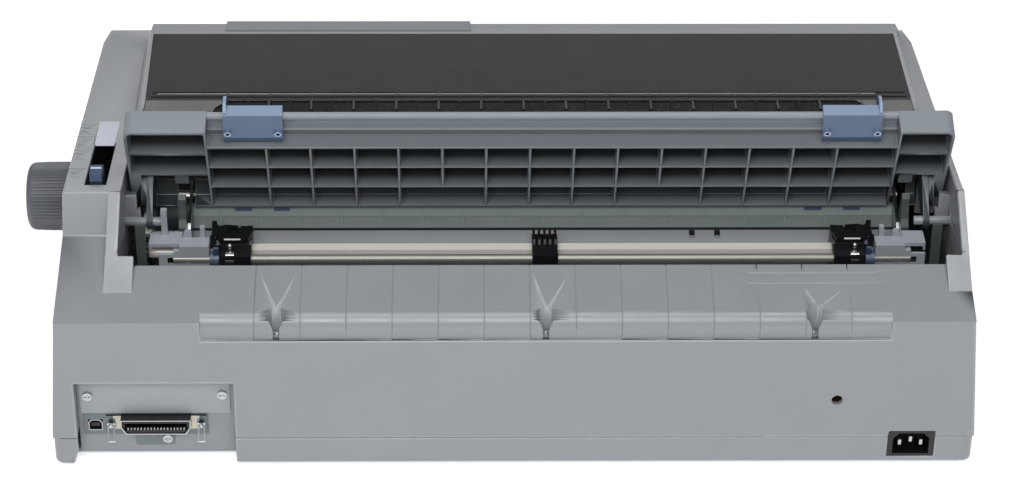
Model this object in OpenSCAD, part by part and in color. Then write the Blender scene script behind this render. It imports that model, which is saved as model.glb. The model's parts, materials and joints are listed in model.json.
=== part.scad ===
// Wide-carriage dot matrix printer, built as it comes apart on a bench.
// Frame: X along the carriage (the platen knob is on +X), +Y to the rear, Z up, in mm.
// The origin lies under the middle of the whole printer, on the table.

/* [Case] */
// Half the width of the case at the seam between its two halves
case_half_w = 303.4; // [301:0.2:306]
// How far each side of the case leans in between the seam and the deck
case_lean = 6.6; // [5.4:0.2:7.4]
// Half the depth of the case
case_half_d = 201; // [200:0.5:203]
// Height of the seam between the lower and the upper case
seam_z = 22.7; // [21:0.1:24]
// Height of the rubber feet
foot_h = 3; // [2:0.5:4]
// Wall thickness of the two case halves
wall = 3; // [2.5:0.1:3.4]
// Height of the rear deck at its rear edge
deck_rear_z = 112.2; // [110:0.2:114]
// Height of the side pods at their rear edge
pod_rear_z = 158.7; // [156:0.2:161]

/* [Paper cavity] */
// Offset of the middle of the paper path from the middle of the case
path_x = -16.75; // [-18:0.25:-15]
// Half the top width of the case less half the width of the cavity
cavity_in = 21.55; // [21.3:0.05:21.8]
// Depth of the rear deck, from the cavity to the rear face
deck_depth = 50; // [48:0.5:51]

/* [Print mechanism] */
// Offset of the middle of the mechanism from the middle of the case
mech_x = -20.75; // [-21.5:0.25:-20]
// Distance from each wall of the cavity to the side frame beside it
frame_in = 38; // [37.5:0.05:38.5]
// Thickness of the steel side frames
frame_t = 2; // [1.6:0.1:2.2]
// Radius of the platen roller
platen_r = 16; // [14:0.5:17]
// Radius of the platen shaft
platen_shaft_r = 4; // [3.5:0.1:4.5]
// Radius of the platen knob
knob_r = 23.5; // [22:0.5:25]
// Length of the platen knob
knob_len = 31; // [28:0.2:33]
// Radius of the carriage shaft
carriage_shaft_r = 5; // [4:0.25:6]
// Running clearance of shafts in their bores, on the radius
run_fit = 0.05; // [0.02:0.01:0.08]

/* [Tractors] */
// Side of the square drive bar
bar_side = 8; // [7:0.25:8.5]
// Radius of the round tractor rod
rod_r = 3; // [2.5:0.1:3.4]
// Distance from the holders of the drive bar to the middle of each tractor
tractor_in = 15.8; // [15.4:0.1:20]
// Half the width of a tractor
tractor_half_w = 11.9; // [11:0.1:12.2]

/* [Paper guide] */
// Lean of the raised paper guide, degrees from upright
guide_lean = 22; // [20:0.5:24]
// Gap between each wing of the paper guide and the wall of the cavity
guide_gap = 2.75; // [2.5:0.25:5]
// Depth of the paper guide from its ribs to its smooth face
guide_depth = 18; // [17:0.25:18.5]
// Height of the paper guide from its lower reference edge
guide_h = 89.6; // [86:0.2:92]
// Thickness of the ribs of the paper guide
rib_t = 1.6; // [1.2:0.1:2]

/* [Printer cover] */
// Offset of the middle of the cover from the middle of the case
cover_x = -10.6; // [-11:0.1:-10]
// Rise of the cover towards the rear, height per length
cover_rise = 0.234; // [0.23:0.001:0.24]
// Thickness of the cover and of its window
cover_t = 2.5; // [2:0.1:2.8]

/* [Rear interfaces] */
// Distance from the side of the case to the interface recess
recess_in = 16.4; // [15:0.2:18]
// Width of the interface recess
recess_w = 103.5; // [102:0.5:106]
// Depth of the interface recess
recess_depth = 12; // [11:0.5:13]
// Height of the top of the interface recess
recess_z = 65.6; // [64:0.2:70]
// Distance from the edge of the recess to the middle of the parallel connector
parallel_in = 52.2; // [51:0.1:54]
// Distance from the other edge of the recess to the middle of the USB socket
usb_in = 11; // [10.5:0.1:12]
// Distance from the side of the case to the middle of the power inlet
inlet_in = 41.6; // [40:0.1:43]

/* [Hidden] */
$fn = 48;

// Colours
case_grey = [0.60, 0.61, 0.62];
guide_grey = [0.43, 0.46, 0.49];
light_grey = [0.72, 0.73, 0.74];
steel = [0.70, 0.72, 0.73];
zinc = [0.66, 0.70, 0.71];
green_grey = [0.42, 0.48, 0.48];
black = [0.09, 0.09, 0.10];
clip_blue = [0.42, 0.50, 0.62];
smoke = [0.22, 0.21, 0.20];

// The knob reaches past the case on +X, so the case sits a little to -X.
case_top_half_w = case_half_w - case_lean;
knob_x0 = case_top_half_w + 2.2;
knob_x1 = knob_x0 + knob_len;
case_shift = (case_half_w - knob_x1) / 2;

// Case outline
case_bottom_z = foot_h;
draft_top_z = 112;
rear_top_y = case_half_d - 3.9;
deck_rise = 0.298;
pod_foot = [case_half_d - 74.5, 133.2];
pod_rear = [case_half_d - 87.9, pod_rear_z];
pod_front = [65.2 - case_half_d, 131.8];
pod_brow = [23 - case_half_d, 118];
front_bend_z = 71;
hump_top = [92 - case_half_d, 154.5];
hump_brow = [69 - case_half_d, 149];
hump_foot = [9 - case_half_d, 98];
inner_shelf_z = 100;
cover_end_y = 50;
pod_slope = (pod_rear_z - pod_front[1]) / (pod_rear[0] - pod_front[0]);

function deck_z(y) = deck_rear_z + (rear_top_y - y) * deck_rise;
function pod_z(y) = pod_rear_z - (pod_rear[0] - y) * pod_slope;
function cover_z(y) = 181.3 + cover_rise * y;

cavity_half_w = case_top_half_w - cavity_in;
cavity_rear_y = case_half_d - deck_depth;
cavity_x0 = path_x - cavity_half_w;
cavity_x1 = path_x + cavity_half_w;
mouth_x0 = cavity_x0 + 15;
mouth_x1 = cavity_x1 - 2.5;
cheek_in = cavity_half_w - 10.5;
cheek_out = cavity_half_w + 8;
cheek_end_y = case_half_d - 28;
cheek_step_y = case_half_d - 52.5;
frame_half_w = cavity_half_w - frame_in;

// Axes of the mechanism, each as [y, z]
platen = [43.6, 111.7];
bar = [104, 105.5];
rod = [117, 108.5];
carriage_axis = [-15, 88];
guide_pivot = [98, 126];
guide_foot = [70, 115];
cover_pivot = [57, 183];
lever_pivot = [71, 100];
pulley_at = [-38, 73];
pulley_x = frame_half_w - 22.25;
pulley_r = 8;

// Gear train on the +X side of the mechanism
gear_x0 = mech_x + frame_half_w + 26.5;
gear_w = 6;
gear_module = 1;
platen_teeth = 40;
idler_teeth = 30;
bar_teeth = 24;
pinion_teeth = 12;
mesh_gap = 0.15;
pinion_at = [30.6, 89.2];
train_span = norm(bar - platen);
idler_reach = (platen_teeth + idler_teeth) * gear_module / 2;
bar_reach = (idler_teeth + bar_teeth) * gear_module / 2;
idler_along = (train_span * train_span + idler_reach * idler_reach - bar_reach * bar_reach)
    / (2 * train_span);
idler_off = sqrt(idler_reach * idler_reach - idler_along * idler_along);
train_dir = (bar - platen) / train_span;
idler_at = platen + idler_along * train_dir + idler_off * [train_dir[1], -train_dir[0]];

// ---------- helpers ----------

// The range from c - h to c + h, and the range from c + a to c + b
function span(c, h) = [c - h, c + h];
function ahead(c, a, b) = [c + a, c + b];

// A box between two corners given axis by axis
module block(x, y, z) {
    translate([x[0], y[0], z[0]]) cube([x[1] - x[0], y[1] - y[0], z[1] - z[0]]);
}

// A profile drawn in Y and Z, as thick as the X range
module across(x, points) {
    translate([x[0], 0, 0]) rotate([90, 0, 90]) linear_extrude(x[1] - x[0]) polygon(points);
}

// A profile drawn in X and Z, as deep as the Y range
module along(y, points) {
    translate([0, y[1], 0]) rotate([90, 0, 0]) linear_extrude(y[1] - y[0]) polygon(points);
}

// A round bar that lies along X
module x_rod(x, at, r) {
    translate([x[0], at[0], at[1]]) rotate([0, 90, 0]) cylinder(h = x[1] - x[0], r = r);
}

// A round bar that lies along Y, at a place given as [x, z]
module y_rod(y, at, r) {
    translate([at[0], y[1], at[1]]) rotate([90, 0, 0]) cylinder(h = y[1] - y[0], r = r);
}

// Moves a shape from the middle of the case to the middle of the printer
module placed() {
    translate([case_shift, 0, 0]) children();
}

// The raised paper guide's own upright frame, its ribs facing +Y
module on_guide() {
    translate([0, guide_foot[0], guide_foot[1]]) rotate([-guide_lean, 0, 0]) children();
}

// The same shape on both sides of the middle of the mechanism
module both_ends() {
    translate([mech_x, 0, 0]) {
        children();
        mirror([1, 0, 0]) children();
    }
}

// The outline of a spur gear as a disc with square teeth
module gear(teeth, width, bore_r) {
    tip = teeth * gear_module / 2 - mesh_gap;
    root = tip - 1.6;
    pitch = 360 / teeth;
    difference() {
        linear_extrude(width) polygon([for (i = [0:teeth - 1], k = [0:3])
            (k < 2 ? tip : root) * [cos((i + k * 0.25) * pitch), sin((i + k * 0.25) * pitch)]]);
        translate([0, 0, -1]) cylinder(h = width + 2, r = bore_r);
    }
}

module x_gear(at, teeth, bore_r) {
    translate([gear_x0, at[0], at[1]]) rotate([90, 0, 90]) gear(teeth, gear_w, bore_r);
}

// ---------- case ----------

plan_w = 2 * case_half_w;

// Front view of the case: the sides lean in up to the deck, then stand upright
module case_front_view(inset) {
    w0 = case_half_w - inset;
    w1 = case_top_half_w - inset;
    along([-case_half_d - 1, case_half_d + 1], [[-w0, 0], [w0, 0], [w0, seam_z],
        [w1, draft_top_z], [w1, 240], [-w1, 240], [-w1, draft_top_z], [-w0, seam_z]]);
}

pod_outline = [[-case_half_d, seam_z], [case_half_d, seam_z], [rear_top_y, deck_rear_z],
    pod_foot, pod_rear, pod_front, pod_brow, [-case_half_d, front_bend_z]];
deck_outline = [[-case_half_d, seam_z], [case_half_d, seam_z], [rear_top_y, deck_rear_z],
    pod_foot, [100, 130], [100, inner_shelf_z + wall], [-120, inner_shelf_z + wall],
    [-180, inner_shelf_z + wall], [-case_half_d, front_bend_z]];
hump_outline = [[-case_half_d, seam_z], [hump_top[0] + 0.5, seam_z], [hump_top[0] + 0.5,
    hump_top[1] + 0.12], hump_top, hump_brow, hump_foot, [-case_half_d, front_bend_z]];

// The rounded edge over which paper runs, between the deck and the rear face
ramp_x = [cavity_x0 + 48.9, cavity_x1 - 55.1];
ramp_low_z = 98;
ramp_r = 10.5;
ramp_face_y = rear_top_y - 1.7;
deck_run = sqrt(1 + deck_rise * deck_rise);
ramp_c = [ramp_face_y - ramp_r, deck_z(ramp_face_y - ramp_r) - ramp_r * deck_run];
ramp_top_y = ramp_c[0] + ramp_r * deck_rise / deck_run;
module beyond_ramp(x, groove) {
    difference() {
        across(x, [[ramp_top_y - 0.3, deck_z(ramp_top_y - 0.3)], [ramp_top_y - 0.3, 130],
            [case_half_d + 5, 130], [case_half_d + 5, ramp_low_z], [ramp_face_y - groove, ramp_low_z],
            [ramp_face_y - groove, ramp_c[1]], ramp_c]);
        x_rod(x + [-1, 1], ramp_c, ramp_r - groove);
    }
}

well_x = [cavity_x1 - 104.1, -19.5, cavity_x0 + 98.6];
well_y = case_half_d - 10.8;
well_r = 5.6;
deck_lines = 14;
deck_line_x0 = cavity_x1 - 90;
deck_line_step = (deck_line_x0 - ramp_x[0] - 26.15) / (deck_lines - 1);
label_x = cavity_x0 * [1, 1] + [57, 140];
label_y = cavity_rear_y * [1, 1] + [7, 15.2];

// Shallow grooves that divide the deck, and the smooth panel that breaks them
module deck_grooves() {
    groove = 0.5;
    for (i = [0:deck_lines - 1]) {
        x = deck_line_x0 - i * deck_line_step;
        in_label = x < label_x[1] && x > label_x[0];
        difference() {
            across([x - 0.4, x + 0.4], [[cavity_rear_y - 1, deck_z(cavity_rear_y - 1) - groove],
                [cavity_rear_y - 1, 140], [ramp_top_y, 140], [ramp_top_y, deck_z(ramp_top_y) - groove]]);
            if (in_label) block([x - 1, x + 1], label_y + [-2, 1.3], [100, 150]);
        }
        beyond_ramp([x - 0.4, x + 0.4], groove);
    }
    for (y = label_y) across(label_x, [[y - 0.4, deck_z(y - 0.4) - 0.45], [y - 0.4, 140], [y + 0.4, 140],
        [y + 0.4, deck_z(y + 0.4) - 0.45]]);
}

slot_x = cavity_x1 * [1, 1] + [10.8, 24.8];
slot_y = [38, 102];
switch_x = 41.4 - case_half_w;
switch_z = 52;
switch_axle_y = 8.8 - case_half_d;
front_door_x = [123.4 - case_half_w, case_half_w - 163.4];
front_door_z = [32.5, 68];
door_axle = [3.5 - case_half_d, 38];
door_axle_r = 1.5;
inlet_rim_w = 31.2;
inlet_rim_h = 20.7;
inlet_z = 16.4;
recess_x = case_half_w * [1, 1] - recess_in * [1, 1] - recess_w * [1, 0];
parallel_x = recess_x[0] + parallel_in;
usb_x = recess_x[1] - usb_in;
inlet_x = inlet_in - case_half_w;
round_hole = [inlet_x + 51.2, 51.6];

// Walls that slope from the pods down to the deck beside the cavity
module cheeks() {
    for (side = [-1, 1]) {
        inner = path_x + side * cavity_half_w;
        outer = path_x + side * cheek_out;
        low = path_x + side * cheek_in;
        top = [[pod_rear[0] - 1, 125], [pod_rear[0] - 1, pod_z(pod_rear[0] - 1)], pod_rear,
            [cheek_end_y, deck_z(cheek_end_y)], [cheek_end_y, deck_z(cheek_end_y) - 5],
            [cheek_step_y, 120]];
        step = [[cheek_step_y, 100], [cheek_step_y, pod_rear[1] - (cheek_step_y - pod_rear[0])
            * (pod_rear[1] - deck_z(cheek_end_y)) / (cheek_end_y - pod_rear[0])],
            [cheek_end_y, deck_z(cheek_end_y)], [cheek_end_y, deck_z(cheek_end_y) - 5]];
        across([min(inner, outer), max(inner, outer)], top);
        across([min(low, outer), max(low, outer)], step);
    }
}

// Everything that is solid in the upper case before it is hollowed
module upper_solid() {
    intersection() {
        case_front_view(0);
        union() {
            across([cavity_x0 - 30, mouth_x0], pod_outline);
            across([mouth_x1, case_half_w], pod_outline);
            across([mouth_x0, mouth_x1], deck_outline);
            across([mouth_x0 - 6, mouth_x1 + 3], hump_outline);
        }
    }
}

module upper_hollow() {
    w = wall;
    intersection() {
        case_front_view(w);
        union() {
            // below the shelf, right across
            across([-plan_w, plan_w], [[-case_half_d + w, 10], [case_half_d - w, 10],
                [rear_top_y - w + 0.2, ramp_low_z - w], [ramp_face_y - w, ramp_low_z - w],
                [ramp_face_y - w, ramp_c[1]], ramp_c + [5.3, 5.3], ramp_c + [2.1, 7.2],
                [cavity_rear_y - 2, deck_z(cavity_rear_y - 2) - w], [cavity_rear_y - 2, inner_shelf_z],
                [-170, inner_shelf_z], [-case_half_d + w, front_bend_z - 1]]);
            // inside the +X pod
            across([cavity_x1 + w, plan_w], [[-case_half_d + w, 20], [pod_foot[0] - w, 20],
                [pod_foot[0] - w, pod_foot[1] - w * 0.6], [pod_rear[0] - w * 0.7, pod_rear_z - w],
                [pod_front[0], pod_front[1] - w], [pod_brow[0] + 1, pod_brow[1] - w],
                [-case_half_d + w, front_bend_z - 1]]);
            // inside the narrow -X pod, in front of the cavity
            across([-plan_w, mouth_x0 - w], [[-case_half_d + w, 20], [cover_end_y - w, 20],
                [cover_end_y - w, pod_z(cover_end_y - w) - w], [pod_front[0], pod_front[1] - w],
                [pod_brow[0] + 1, pod_brow[1] - w], [-case_half_d + w, front_bend_z - 1]]);
            // under the hump in front of the cover
            across([mouth_x0, mouth_x1], [[-case_half_d + w, 20], [-100, 20],
                [-100, hump_top[1] - w + 2], hump_top - [0, w], hump_brow - [-0.5, w],
                hump_foot - [-w, w - 1], [-case_half_d + w, front_bend_z - 1]]);
        }
    }
}

module upper_openings() {
    // mouth under the printer cover, and the cavity behind it
    block([mouth_x0, mouth_x1], [hump_top[0] + 0.6, cover_end_y], [inner_shelf_z - 5, 220]);
    block([cavity_x0, cavity_x1], [cover_end_y - 0.5, cavity_rear_y], [inner_shelf_z - 5, 220]);
    // release lever slot and the slanted recess in front of it
    block(slot_x, slot_y, [140, 170]);
    across([slot_x[0] + 0.8, slot_x[1] + 1], [[3, pod_z(3) + 0.01], [3, pod_z(3) + 5],
        [slot_y[0] + 0.1, 170], [slot_y[0] + 0.1, pod_z(slot_y[0]) - 2.2]]);
    // interface recess, and the cut-out for the power inlet
    block(recess_x, [case_half_d - recess_depth, case_half_d + 5], [0, recess_z]);
    block([recess_x[0] + 3, recess_x[1] - 3], [case_half_d - recess_depth - 6, case_half_d],
        [0, recess_z - 3]);
    block(span(inlet_x, inlet_rim_w / 2), [case_half_d - 10, case_half_d + 5],
        span(inlet_z, inlet_rim_h / 2));
    y_rod([case_half_d - 10, case_half_d + 5], round_hole, 3.7);
    // platen shaft through both walls of the pod
    x_rod([mouth_x1 - 2, case_half_w + 2], platen, platen_shaft_r + 4);
    // screw wells in the deck
    for (x = well_x) translate([x, well_y, well_floor[1]]) {
        cylinder(h = 30, r = well_r);
        translate([0, 0, -8]) cylinder(h = 10, r = screw_r);
    }
    // front door and power switch
    block(front_door_x, [-case_half_d - 1, -case_half_d + wall + 0.1], front_door_z);
    x_rod(front_door_x + [-5.4, 5.4], door_axle, door_axle_r + run_fit);
    block(span(switch_x, 8.6), [-case_half_d - 1, -case_half_d + wall + 1], span(switch_z, 9.6));
}

// Posts that carry the hinge of the printer cover
cover_half = (mouth_x1 - mouth_x0) / 2 + 2.6;
post_x = cover_half - 18.1;
post_w = 4;
module cover_posts() {
    for (side = [-1, 1]) {
        x = cover_x + side * post_x;
        wall_x = side > 0 ? mouth_x1 + 1 : mouth_x0 - 1;
        px = span(x, post_w / 2);
        difference() {
            union() {
                across(px, [[34, 134], [50, 134], [52, 150], [cover_pivot[0] + 5.6, cover_pivot[1] - 3],
                    [cover_pivot[0] + 4, cover_pivot[1]], [cover_pivot[0] - 6, cover_pivot[1]], [40, 150]]);
                x_rod(px, cover_pivot, 6.4);
                across([min(px[0], wall_x), max(px[1], wall_x)],
                    [[34, 134], [49, 134], [49, 140], [34, 140]]);
            }
            x_rod([px[0] - 1, px[1] + 1], cover_pivot, 3 + run_fit);
        }
    }
}

// Pins on the cavity walls that the paper guide swings on, and the stepped pads beside them
guide_pad_y = [86, 91];
module guide_pins() {
    for (side = [-1, 1]) {
        wall_x = path_x + side * (cavity_half_w + 1);
        pin_x = path_x + side * (cavity_half_w - 24.1);
        high_x = path_x + side * (cavity_half_w - 7);
        low_x = path_x + side * (cavity_half_w - 9.2);
        x_rod([min(wall_x, pin_x), max(wall_x, pin_x)], guide_pivot, 3);
        block([min(wall_x, high_x), max(wall_x, high_x)], guide_pad_y, [129, 142]);
        block([min(wall_x, low_x), max(wall_x, low_x)], guide_pad_y, [120.5, 129.5]);
    }
}

// Tubes under the deck, each with a floor that a case screw presses on
well_floor = [92, 96];
screw_r = 1.6;
module well_tubes() {
    intersection() {
        upper_solid();
        for (x = well_x) translate([x, well_y, well_floor[0]]) cylinder(h = 22, r = well_r + 1.6);
    }
}

// The box behind the front wall that the power switch rocks in
module switch_box() {
    difference() {
        block(span(switch_x, 11.5), [wall - 0.5 - case_half_d, 17 - case_half_d], span(switch_z, 12));
        block(span(switch_x, 8.6), [-case_half_d, 15 - case_half_d], span(switch_z, 9.6));
        x_rod(span(switch_x, 10.5), [switch_axle_y, switch_z], 2 + run_fit);
    }
}

// Bearings of the release lever on both walls of the pod
module lever_bearings() {
    for (x = [cavity_x1 * [1, 1] + [wall - 0.5, 6.5], case_top_half_w * [1, 1] - [10.8, 1.3]])
        difference() {
        block(x, span(lever_pivot[0], 7), [93, 107]);
        x_rod([max(x[0], lever_axle_x[0] - 0.2), min(x[1], lever_axle_x[1] + 0.2)],
            lever_pivot, 3 + run_fit);
    }
}

module door_bearings() {
    for (x = [front_door_x[0] - 5, front_door_x[1]]) difference() {
        block([x, x + 5], [wall - 0.5 - case_half_d, 11 - case_half_d], span(door_axle[1], 6));
        x_rod([x - 1, x + 6], door_axle, door_axle_r + run_fit);
    }
}

module upper_case() {
    color(case_grey) placed() {
        difference() {
            union() {
                difference() {
                    upper_solid();
                    upper_hollow();
                }
                intersection() {
                    case_front_view(0);
                    cheeks();
                }
                well_tubes();
            }
            upper_openings();
            beyond_ramp(ramp_x, 0);
            deck_grooves();
        }
        cover_posts();
        guide_pins();
        switch_box();
        lever_bearings();
        door_bearings();
        recess_frame();
    }
}

// The walls of the interface recess run back from the rear face
module recess_frame() {
    y = [case_half_d - recess_depth - 2.5, case_half_d - wall + 0.5];
    difference() {
        block([recess_x[0] - 2, recess_x[1] + 2], y, [seam_z + 0.2, recess_z + 2]);
        block(recess_x, [0, case_half_d + 5], [0, recess_z]);
    }
}

module lower_case() {
    z = [case_bottom_z, seam_z - 0.2];
    color(case_grey) placed() {
        difference() {
            tray(0, z[0], z[1]);
            tray(wall, z[0] + wall, z[1] + 1);
            block(recess_x, [panel_y - panel_t - 0.1, case_half_d + 5], [0, 40]);
            along([panel_y, case_half_d + 5], [[recess_x[1] - 1, 0], [recess_x[1] + 4, 0],
                [recess_x[1], 13], [recess_x[1] - 1, 13]]);
            block(span(inlet_x, inlet_rim_w / 2), [case_half_d - 10, case_half_d + 5],
                span(inlet_z, inlet_rim_h / 2));
        }
        for (x = [recess_x[0] - 53.5, recess_x[0] - 13.5, recess_x[1] - 17, inlet_x - 18.2, inlet_x + 101.8],
            y = [70, case_half_d - 36])
            translate([x, y, case_bottom_z + wall - 0.5]) cylinder(h = 7.5, r = 4);
        for (x = [mech_x - frame_half_w + 18, 0, mech_x + frame_half_w - 16.5], y = [-80, 30])
            translate([x, y, case_bottom_z + wall - 0.5]) cylinder(h = 28.5, r = 6);
        for (x = well_x) translate([x, well_y, 0]) difference() {
            translate([0, 0, z[0] + wall - 0.5]) cylinder(h = well_floor[0] - z[0] - wall + 0.3, r = 4);
            translate([0, 0, well_floor[0] - 10]) cylinder(h = 12, r = screw_r);
        }
    }
}

// A slab with round vertical edges, the width of the case less an inset
module tray(inset, z0, z1) {
    r = max(8 - inset, 1);
    w = case_half_w - inset - r;
    d = case_half_d - inset - r;
    translate([0, 0, z0]) linear_extrude(z1 - z0) union() {
        square([2 * (w + r), 2 * d], center = true);
        square([2 * w, 2 * (d + r)], center = true);
        for (sx = [-1, 1], sy = [-1, 1]) translate([sx * w, sy * d]) circle(r = r);
    }
}

module rubber_feet() {
    color(black) placed() for (x = (case_half_w - 41.4) * [-1, 1], y = (case_half_d - 36) * [-1, 1])
        translate([x, y, 0]) cylinder(h = foot_h, r = 10);
}

module case_screws() {
    color(steel) placed() for (x = well_x) translate([x, well_y, well_floor[1]]) difference() {
        union() {
            cylinder(h = 2.6, r = 4);
            translate([0, 0, -12]) cylinder(h = 12.5, r = screw_r);
        }
        translate([0, 0, 1.4]) linear_extrude(3) square([5, 0.9], center = true);
        translate([0, 0, 1.4]) linear_extrude(3) square([0.9, 5], center = true);
    }
}

// ---------- rear interfaces ----------

panel_y = case_half_d - recess_depth;
panel_t = 2;
connector_z = 29;

module interface_panel() {
    color(case_grey) placed() difference() {
        block(recess_x + [0.2, -0.2], [panel_y - panel_t, panel_y], [case_bottom_z + 0.2, recess_z - 0.2]);
        block(recess_x + [20.5, -4], [0, 250], [20.2, 35.6]);
        for (at = option_screw_at) y_rod([0, 250], at, 1.6);
        y_rod([0, 250], tab_screw_at, 1.6);
    }
}

option_screw_at = [[recess_x[1] - 7.2, 50], [recess_x[0] + 8.2, 51]];
tab_screw_at = [parallel_x - 6.8, 15.6];
module option_plate() {
    color(light_grey) placed() difference() {
        block(recess_x + [3.4, -2], [panel_y, panel_y + 1.2], [35.6, recess_z - 0.4]);
        for (at = option_screw_at) y_rod([0, 250], at, 1.7);
    }
}

module connector_plate() {
    color(zinc) placed() difference() {
        union() {
            block(recess_x + [18.5, -3], [panel_y, panel_y + 1], [18.4, 35.3]);
            block(ahead(parallel_x, -10.9, 14.3), [panel_y, panel_y + 1], [9.7, 18.6]);
        }
        block(span(usb_x, 4.9), [0, 250], [21.6, 30.5]);
        along(span(panel_y, 9), shroud_outline(23.3, 6));
        y_rod([0, 250], tab_screw_at, 1.7);
    }
}

// The D-shaped outline of the parallel connector, w wide and h high on each half
function shroud_outline(w, h) = [[parallel_x - w, connector_z + h], [parallel_x + w, connector_z + h],
    [parallel_x + w, connector_z], [parallel_x + w - 3, connector_z - h],
    [parallel_x - w + 3, connector_z - h], [parallel_x - w, connector_z]];

module panel_screws() {
    color(steel) placed() {
        for (at = option_screw_at) pan_screw(at, panel_y + 1.2);
        pan_screw(tab_screw_at, panel_y + 1);
    }
}

// A cross-head screw that faces the rear
module pan_screw(at, y) {
    translate([at[0], y, at[1]]) rotate([-90, 0, 0]) difference() {
        union() {
            cylinder(h = 2, r = 3.2);
            translate([0, 0, -6]) cylinder(h = 6.5, r = 1.5);
        }
        translate([0, 0, 1]) linear_extrude(3) square([4.2, 0.8], center = true);
        translate([0, 0, 1]) linear_extrude(3) square([0.8, 4.2], center = true);
    }
}

module usb_socket() {
    y1 = panel_y + 1.2;
    z = [21.8, 30.3];
    color(steel) placed() difference() {
        along([panel_y - 17, y1], [[usb_x - 4.7, z[0]], [usb_x + 4.7, z[0]], [usb_x + 4.7, z[1] - 2.2],
            [usb_x + 2.8, z[1]], [usb_x - 2.8, z[1]], [usb_x - 4.7, z[1] - 2.2]]);
        along([panel_y - 9, y1 + 1], [[usb_x - 4.1, z[0] + 0.6], [usb_x + 4.1, z[0] + 0.6],
            [usb_x + 4.1, z[1] - 2.5], [usb_x + 2.5, z[1] - 0.6], [usb_x - 2.5, z[1] - 0.6],
            [usb_x - 4.1, z[1] - 2.5]]);
    }
    color(steel) placed() block(span(usb_x, 2.8), [panel_y - 10, y1 - 1], [24.4, 27.4]);
    color(steel) placed() for (x = [-3, 3]) translate([usb_x + x, panel_y - 13, board_top_z])
        cylinder(h = z[0] - board_top_z + 0.5, r = 0.8);
}

bail_post_x = 29.6;
module parallel_connector() {
    y1 = panel_y + 8.5;
    color(steel) placed() {
        difference() {
            along([panel_y - 6.2, y1], shroud_outline(22.9, 5.7));
            along([panel_y - 1, y1 + 1], shroud_outline(22.2, 5));
        }
        flange_y = [panel_y + 1, panel_y + 2.4];
        for (side = [-1, 1])
            block(span(parallel_x + side * 27.9, 5.1), flange_y, span(connector_z, 5.2));
        block(span(parallel_x, 20), [panel_y - 12, panel_y - 6], [board_top_z, connector_z + 5]);
        for (side = [-1, 1]) difference() {
            block(span(parallel_x + side * bail_post_x, 1.1), [panel_y + 2, bail_axis[0] + 1.9],
                span(connector_z, 2.1));
            x_rod(span(parallel_x + side * bail_post_x, 3), bail_axis, bail_pin_r + run_fit);
        }
    }
}

// The slotted body inside the shroud, with a row of contacts above and below the slot
contact_pitch = 2.16;
module parallel_contacts() {
    color(black) placed() difference() {
        along([panel_y - 0.8, panel_y + 7.4], shroud_outline(21.9, 4.7));
        block(span(parallel_x, 20.4), [panel_y + 0.4, panel_y + 8], span(connector_z, 2.6));
    }
    color("gold") placed() for (i = [-8.5:1:8.5]) for (dz = [-2.7, 2.3])
        block(span(parallel_x + i * contact_pitch, 0.5), [panel_y + 0.2, panel_y + 7],
            ahead(connector_z + dz, 0, 0.4));
}

// A wire loop that snaps over the plug, hanging from the post at one end of the connector
bail_gap = 3.8;
bail_wire_r = 0.45;
bail_pin_r = 0.8;
bail_drop = 11.5;
bail_out = 4;
bail_axis = [panel_y + 4.4, connector_z];
module bail_clip(side) {
    x = parallel_x + side * bail_post_x;
    r = bail_wire_r;
    tip = bail_axis + [bail_out, -bail_drop];
    edge = r * [bail_drop, bail_out] / norm([bail_out, bail_drop]);
    color(steel) placed() {
        for (dx = bail_gap * [-0.5, 0.5])
            across(span(x + dx, r), [bail_axis - edge, bail_axis + edge, tip + edge, tip - edge]);
        x_rod(span(x, bail_gap / 2 + r + 0.1), tip, r + 0.1);
        x_rod(span(x, bail_gap / 2 + r + 0.1), bail_axis, bail_pin_r);
    }
}
module bail_clip_a() { bail_clip(1); }
module bail_clip_b() { bail_clip(-1); }

module power_inlet() {
    c = [inlet_x, inlet_z];
    y1 = case_half_d - 0.8;
    color(black) placed() difference() {
        union() {
            block(span(inlet_x, inlet_rim_w / 2 - 0.2), [y1 - 3, y1], span(inlet_z, inlet_rim_h / 2 - 0.2));
            block(span(inlet_x, 13.6), [case_half_d - 26, y1 - 2], span(inlet_z, 9.6));
        }
        along([y1 - 16, y1 + 1], [[c[0] - 12, c[1] - 8.25], [c[0] + 12, c[1] - 8.25], [c[0] + 12, c[1] + 4.2],
            [c[0] + 8, c[1] + 8.25], [c[0] - 8, c[1] + 8.25], [c[0] - 12, c[1] + 4.2]]);
        for (p = inlet_pin_at)
            block(span(c[0] + p[0], 1.05), [case_half_d - 31, case_half_d - 1], span(c[1] + p[1], 2.05));
    }
}

inlet_pin_at = [[-7, -0.9], [0, 1.6], [7, -0.9]];
module inlet_pins() {
    color(steel) placed() for (p = inlet_pin_at)
        block(span(inlet_x + p[0], 1), [case_half_d - 33, case_half_d - 3.5], span(inlet_z + p[1], 2));
}

board_z = case_bottom_z + wall + 7;
board_top_z = board_z + 1.6;
module main_board() {
    color([0.10, 0.30, 0.18]) placed() {
        x0 = recess_x[0] - 65.5;
        z = board_top_z - 0.1;
        block([x0, recess_x[1] + 1], [60, panel_y - 6], [board_z, board_top_z]);
        block([x0 + 32, x0 + 60], [90, 118], [z, z + 3.1]);
        for (x = [x0 + 82, x0 + 108]) block([x, x + 14], [80, 108], [z, z + 3.1]);
        for (x = [x0 + 138, x0 + 150, x0 + 162]) translate([x, 84, z]) cylinder(h = 12, r = 4);
        block([x0 + 12, x0 + 72], [64, 70], [z, z + 8.1]);
    }
}

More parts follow.
